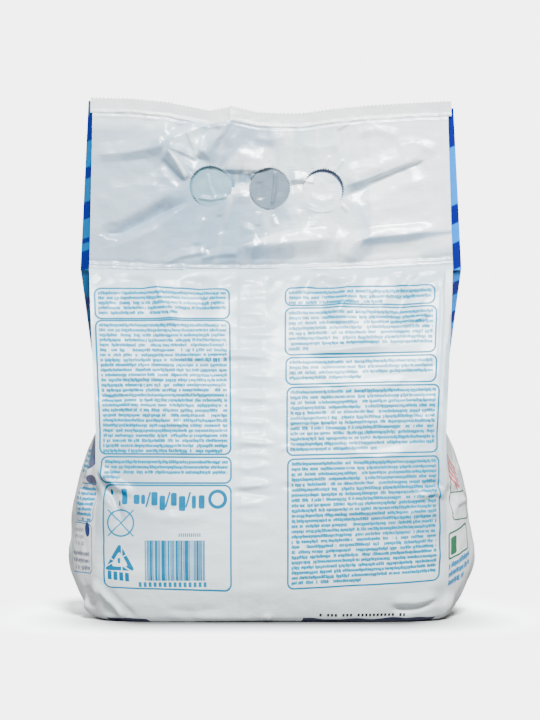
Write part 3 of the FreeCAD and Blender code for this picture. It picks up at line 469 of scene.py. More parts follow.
# Dents that reach round a corner of the pouch: middle, radius and shift.
DENTS = [
    ((-94, -25, 12), 6.5, (4.6, 3.6, 0)), ((-90, -32, 16), 7, (-1.2, -1.4, 0)), ((-95, -20, 4.5), 8, (-3.6, -1.0, 0)),
    ((-84, -35, 5), 7, (0.5, 1.5, 0)), ((92, -26, 7), 9, (1.6, -1.2, 0)), ((88, -33, 14), 8, (0.3, 1.6, 0)),
    ((94, -30, 64), 9, (-1.8, 1.8, 0)), ((96, -26, 72), 7, (1.0, -1.0, 0)), ((-94, -32, 66), 10, (3.0, 2.4, 0)),
    ((-99, -22, 58), 9, (-1.4, -1.2, 0)), ((-96, -26, 78), 9, (-1.0, -1.4, 0)), ((-104, -8, 45), 12, (1.6, 0, 0)),
    ((104, -8, 30), 14, (1.0, 0, 0)), ((104, 0, 52), 12, (-1.6, 0, 0)), ((-103, 6, 20), 12, (1.4, 0, 0)),
]


def dented(P):
    """Applies the corner dents and rounds the film under towards the foot."""
    for middle, radius, shift in DENTS:
        away = np.linalg.norm(P - np.array(middle), axis=-1)
        P = P + np.array(shift) * smooth(1 - away / radius)[..., None]
    low = np.clip((3.2 - P[..., 2]) / 3.2, 0, 1)
    inset = 3.0 * (1 - np.sqrt(np.maximum(0, 1 - low ** 2)))
    flat = P[..., :2]
    length = np.maximum(np.linalg.norm(flat, axis=-1, keepdims=True), 1e-6)
    P[..., :2] = flat * (1 - inset[..., None] / np.maximum(length * 0.62, 20))
    P[..., 2] = np.maximum(P[..., 2], 0.0)
    return P


def gusset_relief(u, z):
    """Crumples of a gusset's film."""
    out = 0.55 * value_noise(u + 0.4 * z, z, 9, 13, 41) + 0.25 * value_noise(u - 0.3 * z, z, 4, 6, 42)
    return out * smooth(u / 6)


def build_pouch(materials):
    z = np.concatenate([np.array([0, 0.15, 0.4, 0.8, 1.3, 1.9, 2.6, 3.4]), np.linspace(4.2, POUCH_Z, 216)])
    rows = len(z)
    pieces = []
    # Text panel.
    cols = 231
    share = np.linspace(-1, 1, cols)
    S, Z = np.meshgrid(share, z)
    X, Y = S * text_half(Z), -panel_depth(S, Z)
    P = np.stack([X, Y, Z], -1)
    u = S * 90
    edge = smooth((1 - np.abs(S)) / 0.04)
    ends = smooth((POUCH_Z - Z) / 3.0) * smooth((Z + 0.5) / 3.0)
    h = text_relief(u, Z) * edge * ends
    P = dented(P + normals_of(P) * h[..., None])
    text_edge = P[0]
    pieces.append(make_object("text_panel", P.reshape(-1, 3), grid_faces(rows, cols),
                              np.stack([u, Z], -1).reshape(-1, 2), materials["text"]))
    # Picture panel.
    cols = 121
    share = np.linspace(1, -1, cols)
    S, Z = np.meshgrid(share, z)
    P = np.stack([S * picture_half(Z), panel_depth(S, Z), Z], -1)
    edge = smooth((1 - np.abs(S)) / 0.05)
    ends = smooth((POUCH_Z - Z) / 3.0) * smooth((Z + 0.5) / 3.0)
    u = S * 90
    h = 0.5 * value_noise(u, Z, 18, 12, 61) + 0.22 * value_noise(u, Z, 7, 5, 62)
    h += 0.8 * value_noise(u, Z, 7, 30, 63) * np.exp(-(POUCH_Z - Z) / 9)
    for k, zz in enumerate((150, 128, 104, 82, 60, 40)):
        h -= fold(u, Z, [(-70 + 13 * k, zz), (-50 + 11 * k, zz - 4), (-30 + 9 * k, zz - 5 + 3 * k)], 0.9 * (-1) ** k, 4.0, 2.0)
    P = dented(P + normals_of(P) * (h * edge * ends)[..., None])
    picture_edge = P[0]
    pieces.append(make_object("picture_panel", P.reshape(-1, 3), grid_faces(rows, cols),
                              np.stack([-u, Z], -1).reshape(-1, 2), materials["picture"]))
    edges = []
    # Gussets: from the text panel's corner to the middle fold, then to the picture panel's corner.
    half_cols = 36
    for side, name in ((-1, "left_gusset"), (1, "right_gusset")):
        share = np.linspace(0, 1, half_cols)
        S, Z = np.meshgrid(share, z)
        fx, fy = gusset_point(Z, text_half(Z), S)
        bx, by = gusset_point(Z, picture_half(Z), S[:, ::-1])
        X = np.concatenate([fx, bx[:, 1:]], 1)
        Y = np.concatenate([-fy, by[:, 1:]], 1)
        ZZ = np.repeat(z[:, None], X.shape[1], 1)
        P = np.stack([X, Y, ZZ], -1)
        run = np.concatenate([np.zeros((rows, 1)), np.cumsum(np.linalg.norm(np.diff(P, axis=1), axis=-1), 1)], 1)
        total = run[:, -1:]
        keep = smooth(run / 7) * smooth((total - run) / 7)
        room = smooth((POUCH_Z - 20 - ZZ) / 25) * smooth((ZZ + 0.5) / 3)
        h = gusset_relief(run, ZZ) * keep * room
        if side < 0:
            h -= fold(run, ZZ, [(2, 84), (10, 72), (22, 60)], -1.3, 4, 2) * keep
            h -= fold(run, ZZ, [(2, 70), (8, 66), (20, 70)], 1.2, 4, 3) * keep
        else:
            h -= fold(run, ZZ, [(2, 66), (12, 60), (24, 62)], -1.2, 3.5, 2) * keep
            h -= fold(run, ZZ, [(2, 90), (10, 84), (24, 78)], 1.0, 4, 3) * keep
        P = P + normals_of(P) * h[..., None]
        faces = grid_faces(rows, P.shape[1])
        if side < 0:
            P[..., 0] *= -1
            faces = faces[:, ::-1]
        P = dented(P)
        place = np.where(run < total / 2, run, 100 - (total - run))
        uv = np.stack([place + (200 if side > 0 else 0), ZZ], -1).reshape(-1, 2)
        pieces.append(make_object(name, P.reshape(-1, 3), faces, uv, materials["gusset"]))
        edges.append(P[0])
    # Foot, inside the lowest row of the panels and gussets.
    outline = np.concatenate([text_edge, edges[1][1:], picture_edge[1:], edges[0][::-1][1:-1]])[:, :2]
    rings, count = 10, len(outline)
    scale = np.linspace(1, 1 / rings, rings)[:, None, None]
    flat = np.concatenate([(outline[None] * scale).reshape(-1, 2), [[0, 0]]])
    verts = np.concatenate([flat, np.zeros((len(flat), 1))], 1)
    faces = [tuple(f) for f in grid_faces(rings, count, wrap=True)]
    last = (rings - 1) * count
    faces += [(last + i, last + (i + 1) % count, len(verts) - 1) for i in range(count)]
    pieces.append(make_object("foot", verts, [f[::-1] for f in faces], flat, materials["foot"]))
    return pieces


def front_half(side, t):
    """Half width of the header's front film, a little narrower than the back film."""
    return mix(WELD_HALF, np.where(side > 0, 92.9, 93.6), t)


def build_header(materials):
    pieces = []
    cols, rows = 316, 140
    share = np.linspace(-1, 1, cols)
    t = np.linspace(0, 1, rows)
    S, T = np.meshgrid(share, t)
    X = S * front_half(S, T)
    Z = mix(POUCH_Z - 0.2, seal_line(X), T)
    Y = film_y(X, Z)
    keep = np.ones(X.shape, bool)
    for _, cx, cz, _ in DISCS:
        cx, cz = laid(cx, cz)
        keep &= np.hypot(X - cx, Z - cz) > 11.8
    index = grid_faces(rows, cols)
    flat = keep.ravel()
    faces = index[flat[index].all(1)]
    pieces.append(make_object("header_front", np.stack([X, Y, Z], -1).reshape(-1, 3), faces,
                              np.stack([S * 90, Z], -1).reshape(-1, 2), materials["header"]))
    # Back film, wider than the front at both sides.
    cols, rows = 190, 88
    share = np.linspace(1, -1, cols)
    S, T = np.meshgrid(share, np.linspace(0, 1, rows))
    half = mix(WELD_HALF + FLARE_WELD, HEADER_HALF + FLARE_TOP, T)
    X = S * half
    Xs = np.clip(X, -HEADER_HALF, HEADER_HALF)
    Z = mix(POUCH_Z - 0.2, seal_line(Xs), T)
    Y = sample(RELIEF, Xs, Z) * smooth((half - np.abs(X)) / 6) + SHEET_THICK - 0.15
    pieces.append(make_object("header_back", np.stack([X, Y, Z], -1).reshape(-1, 3), grid_faces(rows, cols),
                              np.stack([-S * 90, Z], -1).reshape(-1, 2), materials["picture"]))
    return pieces


def build_band(materials):
    """The sealed band in two lengths: the left one passes behind the right one at the fold."""
    pieces = []
    for name, left, right, shift in (("band_left", -HEADER_HALF, -19.5, 0.9), ("band_right", -22.0, HEADER_HALF, -0.4)):
        count = int(round((right - left) / (TOOTH_PITCH / 4)))
        x = np.linspace(left, right, count + 1)
        rows = 14
        T, X = np.meshgrid(np.linspace(0, 1, rows), x, indexing="ij")
        phase = (X - left) / TOOTH_PITCH
        tooth = TOOTH_DEPTH * np.abs(2 * (phase - np.floor(phase)) - 1)
        top = seal_line(X) + BAND_H - tooth
        Z = mix(seal_line(X) - 0.5, top, T)
        base = sample(RELIEF, X, np.minimum(Z, 274))
        wave = 0.35 * value_noise(X, Z, 9, 20, 71) * T
        Y = base * mix(1.0, 0.6, T) - mix(SHEET_THICK, 0.5, smooth(T * 3)) + wave + shift * smooth(T * 4) * \
            (smooth((X + 60) / 40) * smooth((-12 - X) / 6) if shift > 0 else smooth((X + 25) / 3) * smooth((20 - X) / 30))
        front = np.stack([X, Y, Z], -1)
        back = np.stack([X, Y + mix(1.6, 0.5, smooth(T * 4)), Z], -1)
        faces = grid_faces(rows, count + 1)
        uv = np.stack([X / HEADER_HALF * 90, Z], -1).reshape(-1, 2)
        pieces.append(make_object(name + "_front", front.reshape(-1, 3), faces, uv, materials["band"]))
        pieces.append(make_object(name + "_back", back.reshape(-1, 3), faces[:, ::-1], uv * [-1, 1], materials["picture"]))
        edge = np.concatenate([front[-1], back[-1]], 0)
        n = count + 1
        rim = [(i, i + 1, n + i + 1, n + i) for i in range(count)]
        pieces.append(make_object(name + "_edge", edge, rim, np.concatenate([uv[-n:], uv[-n:]]), materials["band"]))
    return pieces


def build_rims(materials):
    """The film round each finger disc, with its perforations, and the disc in it."""
    pieces = []
    tilts = {"left": (-0.8, 0.6, 6.0, 0.4), "middle": (0.6, 0.2, 5.0, -0.6), "right": (0.25, 1.0, 8.0, 0.5)}
    slips = {"left": (1.0, -0.5), "middle": (0.2, -0.3), "right": (-0.8, -1.7)}
    around, teeth = 288, 48
    a = np.linspace(0, 2 * math.pi, around, endpoint=False)
    saw = np.abs(((a * teeth / (2 * math.pi)) % 1) * 2 - 1)
    for name, cx, cz, _ in DISCS:
        cx, cz = laid(cx, cz)
        inner = DISC_R - 0.30 + 0.75 * saw
        out = np.linspace(0, 1, 9)[:, None]
        R = mix(inner[None, :], 13.9, out)
        A = np.repeat(a[None, :], 9, 0)
        X, Z = cx + R * np.cos(A), cz + R * np.sin(A)
        Y = film_y(X, Z) - 0.05 * (1 - out)
        uv = np.stack([X / HEADER_HALF * 90, Z], -1).reshape(-1, 2)
        pieces.append(make_object(name + "_finger_rim", np.stack([X, Y, Z], -1).reshape(-1, 3),
                                  grid_faces(9, around, True)[:, ::-1], uv, materials["header"]))
        # The disc, pressed in or out and turned.
        ux, uz, tilt, shift = tilts[name]
        length = math.hypot(ux, uz)
        rings = 24
        rr = np.linspace(0.0, 1, rings)[:, None]
        R = rr * (DISC_R - 0.35 + 0.45 * saw)[None, :]
        A = np.repeat(a[None, :], rings, 0)
        X, Z = R * np.cos(A), R * np.sin(A)
        Y = shift + math.tan(math.radians(tilt)) * (X * ux + Z * uz) / length
        if name == "left":
            Y += fold(X, Z, [(-8, -5.5), (0, -6.6), (9, -4.8)], -0.9, 2.0, 1.2)
            Y += fold(X, Z, [(-3, 9), (-1, 0), (2, -6)], -0.35, 1.4, 2.4)
        elif name == "middle":
            Y += fold(X, Z, [(2.6, 9.5), (2.2, 0), (0.8, -9)], -1.3, 1.8, 1.0)
            Y += fold(X, Z, [(-6, 4), (-4.5, -6)], 0.5, 3, 3)
        else:
            Y += fold(X, Z, [(-7, -2), (0, -4.5), (7, -3)], -0.4, 3, 3)
        Y += 0.25 * value_noise(X, Z, 5, 5, len(name)) - SHEET_THICK + 0.4
        dx, dz = cx + slips[name][0], cz + slips[name][1]
        Y = np.clip(Y, -2.6, np.minimum(0.75, sample(RELIEF, dx + X, dz + Z) + SHEET_THICK - 0.7))
        faces = grid_faces(rings, around, True)[:, ::-1]
        pieces.append(make_object(name + "_finger_disc", np.stack([dx + X, Y, dz + Z], -1).reshape(-1, 3), faces,
                                  np.stack([(cx + X) / HEADER_HALF * 90, cz + Z], -1).reshape(-1, 2), materials[name + "_disc"]))
        # The next film, seen through the torn edge, coloured partly by that film's print and partly with painted shade
        # of the gap behind the disc.
        X, Z = cx + 13.0 * rr * np.cos(A), cz + 13.0 * rr * np.sin(A)
        Y = np.minimum(0.85, sample(RELIEF, X, Z) + SHEET_THICK - 0.45)
        pieces.append(make_object(name + "_film_behind", np.stack([X, Y, Z], -1).reshape(-1, 3),
                                  faces, np.stack([X, Z], -1).reshape(-1, 2), materials[name + "_behind"]))
    return pieces


# Materials, written as small sums of nodes.
class Node:
    """A number in a material's node tree, with the usual arithmetic."""
    tree = None

    def __init__(self, socket):
        self.socket = socket

    @staticmethod
    def math(operation, *args, clamp=False):
        node = Node.tree.nodes.new("ShaderNodeMath")
        node.operation = operation
        node.use_clamp = clamp
        for i, value in enumerate(args):
            if isinstance(value, Node):
                Node.tree.links.new(value.socket, node.inputs[i])
            else:
                node.inputs[i].default_value = float(value)
        return Node(node.outputs[0])

    def __add__(self, o): return Node.math("ADD", self, o)
    def __radd__(self, o): return Node.math("ADD", o, self)
    def __sub__(self, o): return Node.math("SUBTRACT", self, o)
    def __rsub__(self, o): return Node.math("SUBTRACT", o, self)
    def __mul__(self, o): return Node.math("MULTIPLY", self, o)
    def __rmul__(self, o): return Node.math("MULTIPLY", o, self)
    def __truediv__(self, o): return Node.math("DIVIDE", self, o)
    def abs(self): return Node.math("ABSOLUTE", self)
    def max(self, o): return Node.math("MAXIMUM", self, o)
    def min(self, o): return Node.math("MINIMUM", self, o)
    def floor(self): return Node.math("FLOOR", self)
    def fract(self): return Node.math("FRACT", self)
    def over(self, o): return Node.math("GREATER_THAN", self, o)
    def under(self, o): return Node.math("LESS_THAN", self, o)

    def soft(self, low, high):
        """0 at low, 1 at high."""
        return Node.math("MULTIPLY", self - low, 1.0 / (high - low), clamp=True)


def start_material(name):
    material = bpy.data.materials.new(name)
    material.use_nodes = True
    tree = material.node_tree
    Node.tree = tree
    shader = tree.nodes["Principled BSDF"]
    coordinates = tree.nodes.new("ShaderNodeUVMap")
    coordinates.uv_map = "film"
    split = tree.nodes.new("ShaderNodeSeparateXYZ")
    tree.links.new(coordinates.outputs[0], split.inputs[0])
    u, v = Node(split.outputs[0]) * 100, Node(split.outputs[1]) * 100
    return material, tree, shader, u, v


def place_vector(x, y, z=0.0):
    node = Node.tree.nodes.new("ShaderNodeCombineXYZ")
    for i, value in enumerate((x, y, z)):
        if isinstance(value, Node):
            Node.tree.links.new(value.socket, node.inputs[i])
        else:
            node.inputs[i].default_value = float(value)
    return node.outputs[0]


def noise(x, y, scale, detail=2.0, seed=0.0, rough=0.5):
    node = Node.tree.nodes.new("ShaderNodeTexNoise")
    node.inputs["Scale"].default_value = scale
    node.inputs["Detail"].default_value = detail
    node.inputs["Roughness"].default_value = rough
    Node.tree.links.new(place_vector(x, y, seed), node.inputs["Vector"])
    return Node(node.outputs[0])


def white(x, y=0.0):
    node = Node.tree.nodes.new("ShaderNodeTexWhiteNoise")
    node.noise_dimensions = "2D"
    Node.tree.links.new(place_vector(x, y), node.inputs["Vector"])
    return Node(node.outputs[0])


def blend_colour(mask, low, high):
    """Mixes two colours, each a colour or a socket, by a mask."""
    node = Node.tree.nodes.new("ShaderNodeMix")
    node.data_type = "RGBA"
    Node.tree.links.new(mask.socket, node.inputs[0])
    for value, socket in ((low, node.inputs[6]), (high, node.inputs[7])):
        if isinstance(value, tuple):
            socket.default_value = (*value, 1)
        else:
            Node.tree.links.new(value, socket)
    return node.outputs[2]


def inked(mask, base, ink):
    """Prints ink on film: half a mask already looks well coloured."""
    half = blend_colour(mask.soft(0.0, 0.5), base, tuple(min(1.0, 0.30 * c ** 0.5 + c) for c in ink))
    return blend_colour(mask.soft(0.5, 1.0), half, ink)


def srgb(r, g, b):
    """A colour as the eye reads it, 0 to 255, as a linear colour."""
    return tuple((c / 255 / 12.92) if c <= 10 else ((c / 255 + 0.055) / 1.055) ** 2.4 for c in (r, g, b))


def rounded_box(u, v, x0, x1, z0, z1, radius):
    """Distance outside a rounded box, below zero inside."""
    cx, cz, hx, hz = (x0 + x1) / 2, (z0 + z1) / 2, (x1 - x0) / 2 - radius, (z1 - z0) / 2 - radius
    qx, qz = (u - cx).abs() - hx, (v - cz).abs() - hz
    px, pz = qx.max(0), qz.max(0)
    return Node.math("SQRT", px * px + pz * pz) + qx.max(qz).min(0) - radius


def outline(distance, width):
    return Node.math("SUBTRACT", 1.0, (distance.abs() - width / 2).soft(-0.12, 0.12))


def text_lines(u, v, x0, x1, z1, lines, pitch, last=0.6, ink=1.0):
    """Rows of small dashes that stand for lines of small print."""
    row = Node.math("DIVIDE", z1 - v, pitch)
    index = row.floor()
    place = row.fract()
    cell = Node.math("DIVIDE", u + index * 0.37, 1.05)
    letter = white(cell.floor(), index)
    taller = letter.over(0.72) * 0.13
    deeper = letter.under(0.22) * 0.13
    tall = (place + taller).soft(0.14, 0.32) * (1 - (place - deeper).soft(0.66, 0.84))
    stem = 1 - (cell.fract() - 0.3 - letter * 0.4).abs().soft(0.20, 0.55) * 0.85
    shape = noise(u, v, 1.15, 1.0, 5.0).soft(0.36, 0.62)
    words = noise(u * 0.42 + index * 11.3, index * 5.1, 1.0, 1.0, 9.0).soft(0.365, 0.395)
    inside = u.over(x0) * (index.over(-0.5)) * index.under(lines - 0.5)
    end = index.over(lines - 1.5)
    limit = x1 - end * (x1 - x0) * (1 - last)
    inside = inside * (limit - u).over(0)
    return inside * tall * words * (0.22 + stem * 0.38 + shape * 0.34) * ink


TEAL = (0.001, 0.150, 0.275)
BOLD = (0.000, 0.125, 0.25)
NAVY = (0.004, 0.010, 0.11)
BLUE = (0.006, 0.010, 0.16)
WHITE_LOW, WHITE_HIGH = (0.63, 0.765, 0.83), (0.70, 0.835, 0.90)
LEFT_CYAN = (0.000, 0.085, 0.23)
RIGHT_CYAN = (0, 0.19, 0.66)


def film_finish(tree, shader, u, v, strength=1.0):
    """Soft gloss with fine uneven bumps, as thin polyethylene has."""
    shader.inputs["Roughness"].default_value = 0.34
    shader.inputs["Specular IOR Level"].default_value = 0.42
    shader.inputs["Coat Weight"].default_value = 0.14
    shader.inputs["Coat Roughness"].default_value = 0.22
    height = noise(u, v, 0.16, 4.0, 1.0, 0.55) * 1.0 + noise(u * 0.5, v * 1.6, 0.5, 3.0, 4.0) * 0.35
    bump = tree.nodes.new("ShaderNodeBump")
    bump.inputs["Strength"].default_value = 0.22 * strength
    bump.inputs["Distance"].default_value = 0.0016
    tree.links.new(height.socket, bump.inputs["Height"])
    tree.links.new(bump.outputs[0], shader.inputs["Normal"])


def gathered(masks):
    total = masks[0]
    for mask in masks[1:]:
        total = total.max(mask)
    return total


def text_material():
    material, tree, shader, u, v = start_material("text_film")
    film_finish(tree, shader, u, v)
    foot = v
    v = (v - 1.0) / 1.005
    masks = []
    # Left column.
    for x0, x1, z0, z1, lines, last in ((-87.7, -20.8, 153.9, 169.7, 5, 0.62), (-87.7, -20.6, 84.8, 152.9, 26, 0.96),
                                        (-86.8, -20.4, 70.3, 83.3, 4, 0.13)):
        masks.append(outline(rounded_box(u, v, x0, x1, z0, z1, 3.2), 0.85))
        masks.append(text_lines(u, v, x0 + 1.6, x1 - 1.6, z1 - 1.3, lines, 2.56, last))
    tilt = (u + 52) * 0.055
    masks.append(outline(rounded_box(u, v + tilt * Node.math("MULTIPLY", 22 - v, 0.08, clamp=True), -85.5, -20.4, 16.5, 69.1, 3.4), 0.85))
    # Right column, printed a little uphill.
    lean = v - (u - 7.2) * 0.021
    for x0, x1, z0, z1, lines, last in ((7.2, 81.4, 160.4, 169.6, 3, 0.66), (7.2, 82.6, 135.2, 159.0, 8, 0.14),
                                        (7.6, 83.4, 120.0, 133.6, 4, 0.5), (8.2, 85.4, 84.2, 118.4, 12, 0.6)):
        masks.append(outline(rounded_box(u, lean, x0, x1, z0, z1, 3.2), 0.85))
        masks.append(text_lines(u, lean, x0 + 1.6, x1 - 1.6, z1 - 1.3, lines, 2.62, last))
    low = v - (u - 8.6) * (0.021 + (82 - v) * 0.00055)
    masks.append(outline(rounded_box(u, low, 8.6, 86.2, 16.6, 82.2, 3.2), 0.85))
    masks.append(text_lines(u, low, 10.4, 84.4, 80.9, 24, 2.62, 0.48))
    # Symbols: a crossed ring, a rounded three-cornered ring, plain bars and small plain marks.
    ring_u, ring_v = u + 76.6, v - 50.0
    away = Node.math("SQRT", ring_u * ring_u + ring_v * ring_v)
    masks.append(outline(away - 6.6, 0.8))
    near = away.under(9.4)
    masks.append(outline((ring_u - ring_v) * 0.7071, 0.6) * near)
    masks.append(outline((ring_u + ring_v) * 0.7071, 0.6) * near)
    bold = []
    tri_u, tri_v = u + 77.3, v - 30.6
    sides = [tri_v * -1.0, tri_u * 0.866 + tri_v * 0.5, tri_u * -0.866 + tri_v * 0.5]
    corner = Node.math("SMOOTH_MAX", Node.math("SMOOTH_MAX", sides[0], sides[1], 3.0), sides[2], 3.0)
    gaps = (sides[0] - sides[1] - 2.0).abs().over(0.45) * (sides[1] - sides[2] - 2.0).abs().over(0.45) \
        * (sides[2] - sides[0] - 2.0).abs().over(0.45)
    bold.append(outline(corner - 3.7, 1.9) * gaps)
    bold.append(1 - rounded_box(u, v, -78.2, -77.0, 29.6, 32.2, 0.4).soft(-0.2, 0.2))
    cell = ((u + 83.6) / 3.0).fract()
    letters = v + (u + 77.6) * 0.10
    bold.append(cell.under(0.70) * u.over(-83.6) * u.under(-71.6) * letters.over(20.8) * letters.under(25.2))
    # The fill weight's place: a row of plain rounded blocks.
    for x0, x1, z0, z1 in ((-82.6, -81.2, 64.0, 67.0), (-77.8, -76.8, 58.4, 61.4), (-76.0, -73.2, 59.4, 67.4),
                           (-70.0, -67.0, 59.6, 64.4), (-66.2, -64.2, 59.6, 64.4),
                           (-61.0, -57.8, 59.0, 65.8), (-56.8, -53.9, 56.6, 64.0), (-51.0, -48.0, 58.8, 65.4),
                           (-46.9, -43.6, 56.2, 63.8), (-40.3, -38.2, 57.4, 64.0), (-36.8, -33.8, 57.4, 64.2)):
        bold.append(1 - (rounded_box(u, v, x0, x1, z0, z1, 0.9)).soft(-0.15, 0.15))
    for x in (-62.6, -52.6, -42.2):
        bold.append(outline(u - x - (v - 62) * 0.28, 0.9) * v.over(58.0) * v.under(65.8))
    round_u, round_v = u + 27.4, v - 62.2
    bold.append(outline(Node.math("SQRT", round_u * round_u + round_v * round_v) - 4.0 - round_u * 0.05, 1.7))
    # Plain bars, spaced by a rule of their own.
    cell = (u + 64.3) / 0.66
    bars = white(cell.floor() * 1.7, 3.0)
    bars = bars.over(0.78).max(bars.over(0.30) * cell.fract().under(0.62))
    guard = v.over(20.9) * v.under(41.4) * u.over(-64.3) * u.under(-33.6)
    bold.append((0.30 + bars * 0.70) * guard)
    for x0, x1, z0, z1, wide in ((-67.8, -32.0, 17.6, 20.2, 2.56), (-47.0, -35.4, 43.2, 45.0, 1.05)):
        cell = ((u - x0) / wide).fract()
        bold.append(cell.under(0.62) * u.over(x0) * u.under(x1) * v.over(z0) * v.under(z1) * 0.75)
    date = (((u - 25.4) / 2.0).fract().under(0.62)) * u.over(25.4) * u.under(70.4) * v.over(2.2) * v.under(3.7) \
        * white(((u - 25.4) / 2.0).floor(), 7.0).over(0.18)
    teal, strong = gathered(masks), gathered(bold)
    shade = noise(u, v, 0.035, 2.0, 3.0)
    base = blend_colour(shade.soft(0.3, 0.7), WHITE_LOW, WHITE_HIGH)
    base = blend_colour(1 - v.soft(10, 95), base, (0.685, 0.735, 0.755))
    # Shade under the weld, and at the low sides where the bulge turns from the light.
    base = blend_colour(v.soft(118, 168) * (shade * 0.8 + 0.15), base, (0.40, 0.48, 0.54))
    sides = (u.abs() + (shade - 0.5) * 40).soft(30, 70) * v.soft(28, 50) * (1 - v.soft(80, 116))
    base = blend_colour(sides * 0.72, base, (0.36, 0.42, 0.47))
    # Painted shade along the right edge, where the film turns away from the light.
    edge = (u + (150 - v) * 0.012).soft(87.3, 88.1) * v.soft(104, 116)
    base = blend_colour(edge * 0.8, base, (0.36, 0.42, 0.48))
    shine = 1 - teal.max(strong) * 0.85
    for socket, level in (("Specular IOR Level", 0.42), ("Coat Weight", 0.18)):
        tree.links.new((shine * level).socket, shader.inputs[socket])
    base = inked(teal, base, TEAL)
    base = inked(strong, base, BOLD)
    base = blend_colour(date, base, (0.008, 0.008, 0.010))
    curl = foot + (noise(u, v, 0.06, 1.0, 8.0) - 0.5) * 3.0
    under = (1 - curl.soft(1.4, 2.0)) * (u.over(-88) * u.under(-66))
    under = under.max((1 - curl.soft(2.1, 2.7)) * (u.over(17) * u.under(87)))
    base = blend_colour(under, base, (0.006, 0.010, 0.05))
    tree.links.new(base, shader.inputs["Base Color"])
    return material


def picture_colour(u, v):
    """Dark blue with slanted light blue bands."""
    wave = noise(u, v, 0.02, 2.0, 5.0) * 26
    band = ((u * 0.55 + v + wave) / 33.0).fract()
    light = band.soft(0.50, 0.53) * (1 - band.soft(0.90, 0.93))
    thin = ((u * 0.55 + v + wave + 9) / 16.5).fract()
    tint = thin.soft(0.78, 0.80) * (1 - thin.soft(0.88, 0.90))
    base = blend_colour(light, BLUE, LEFT_CYAN)
    return blend_colour(tint * 0.7, base, RIGHT_CYAN)


def picture_material():
    material, tree, shader, u, v = start_material("picture_film")
    film_finish(tree, shader, u, v, 1.2)
    tree.links.new(picture_colour(u, v), shader.inputs["Base Color"])
    return material


def strip_colour(u, v, side):
    """Slanted patches of two blues along the picture panel's edges."""
    left = [(262.0, 248.5), (235.0, 229.0), (217.0, 208.0), (198.0, 195.5), (191.5, 181.5), (166, 160), (146, 141), (133, 125)]
    right = [(268.0, 246.0), (215.0, 205.0), (195.0, 181.0), (176.0, 169.0), (160.0, 154.0), (144, 136), (128, 121)]
    slant = v + u.abs() * (0.35 if side < 0 else -0.45) + (-34 if side < 0 else 43)
    dark = None
    for high, low in (left if side < 0 else right):
        mask = (slant - low).soft(-0.4, 0.4) * (high - slant).soft(-0.4, 0.4)
        dark = mask if dark is None else dark.max(mask)
    cyan = LEFT_CYAN if side < 0 else RIGHT_CYAN
    return blend_colour(dark, cyan, BLUE if side > 0 else NAVY)


def strip_material(side):
    """Film of the picture panel beside the text panel."""
    material, tree, shader, u, v = start_material("left_strip_film" if side < 0 else "right_strip_film")
    film_finish(tree, shader, u, v)
    base = strip_colour(u, v, side)
    if side > 0:
        pale = 1 - (u - (95.6 - (v - 183) * 0.046)).soft(-0.3, 0.3)
        base = blend_colour(pale * v.under(200), base, WHITE_HIGH)
    shader.inputs["Specular IOR Level"].default_value = 0.02
    shader.inputs["Coat Weight"].default_value = 0.0
    tree.links.new(base, shader.inputs["Base Color"])
    return material


def patch(u, v, corners, soft=1.5):
    """A soft-edged convex field between corners that are listed against the clock."""
    inside = None
    for (x0, z0), (x1, z1) in zip(corners, corners[1:] + corners[:1]):
        length = math.hypot(x1 - x0, z1 - z0)
        a, b = -(z1 - z0) / length, (x1 - x0) / length
        away = u * a + v * b - (x0 * a + z0 * b)
        inside = away if inside is None else inside.min(away)
    return inside.soft(-soft, soft)


# Fields of the header painted bluer and darker, partly the doubled film with the print behind it, partly painted shade
# along and below the folds: corners, softness, strength.
SHADE_AND_BLUE_FIELDS = [
    ([(-56, 180), (-3, 180), (-3, 214), (-16, 226), (-40, 228), (-56, 224)], 5.0, 0.42),
    ([(-36, 182), (-3, 182), (-3, 200), (-12, 214), (-24, 216), (-36, 204)], 4.0, 0.40),
    ([(-36, 239), (-24, 233), (4, 233), (0, 262), (-18, 264), (-24, 256)], 2.0, 0.62),
    ([(-24, 226), (-9, 228), (-7, 233.6), (-24.5, 233.8)], 0.6, 0.95),
    ([(-84, 199), (-74, 200), (-42, 216), (-42, 221), (-60, 213)], 1.2, 0.50),
    ([(1, 206), (22, 208), (22, 214), (10, 214), (2, 214)], 2.5, 0.35),
    ([(36, 184), (44, 184), (56, 199), (46, 198)], 1.6, 0.42),
    ([(-12, 184), (34, 184), (34, 195), (-12, 192)], 1.2, 0.32),
    ([(8, 226), (20, 226), (22, 232), (9, 236)], 1.2, 0.45),
    ([(-53, 249), (-38, 240), (-36, 254), (-44, 256)], 1.2, 0.25),
    ([(-30, 255), (-22, 262), (-38, 262), (-46, 257)], 1.0, 0.40),
    ([(36, 219.5), (77.5, 239), (53, 231), (36, 225)], 0.5, 0.60),
    ([(-56, 238), (-44, 226), (-42, 229), (-52, 243)], 0.6, 0.45),
    ([(-92, 236), (-54, 240), (-54, 245), (-70, 242.5), (-92, 240)], 1.5, 0.25),
    ([(44, 191), (64, 195), (92, 196.5), (92, 202), (70, 200.8), (46, 197.5)], 1.0, 0.85),
    ([(70, 183), (96, 183), (96, 194), (76, 191)], 2.0, 0.50), ([(-60, 207), (-36, 202), (-36, 224), (-58, 216)], 3.0, 0.40),
    ([(-60, 226), (-42, 222), (-40, 234), (-58, 236)], 2.0, 0.35), ([(-78, 201), (-60, 203), (-60, 209), (-72, 207)], 1.5, 0.40),
    ([(-2, 207), (10, 207), (10, 215), (-1, 216)], 1.5, 0.40), ([(-34, 186), (6, 189), (6, 195), (-34, 194)], 2.0, 0.35),
    ([(-62, 243), (-49, 243), (-50, 250), (-60, 249)], 1.5, 0.40), ([(-94, 187), (-62, 184), (-62, 200), (-94, 202)], 3.0, 0.28),
]
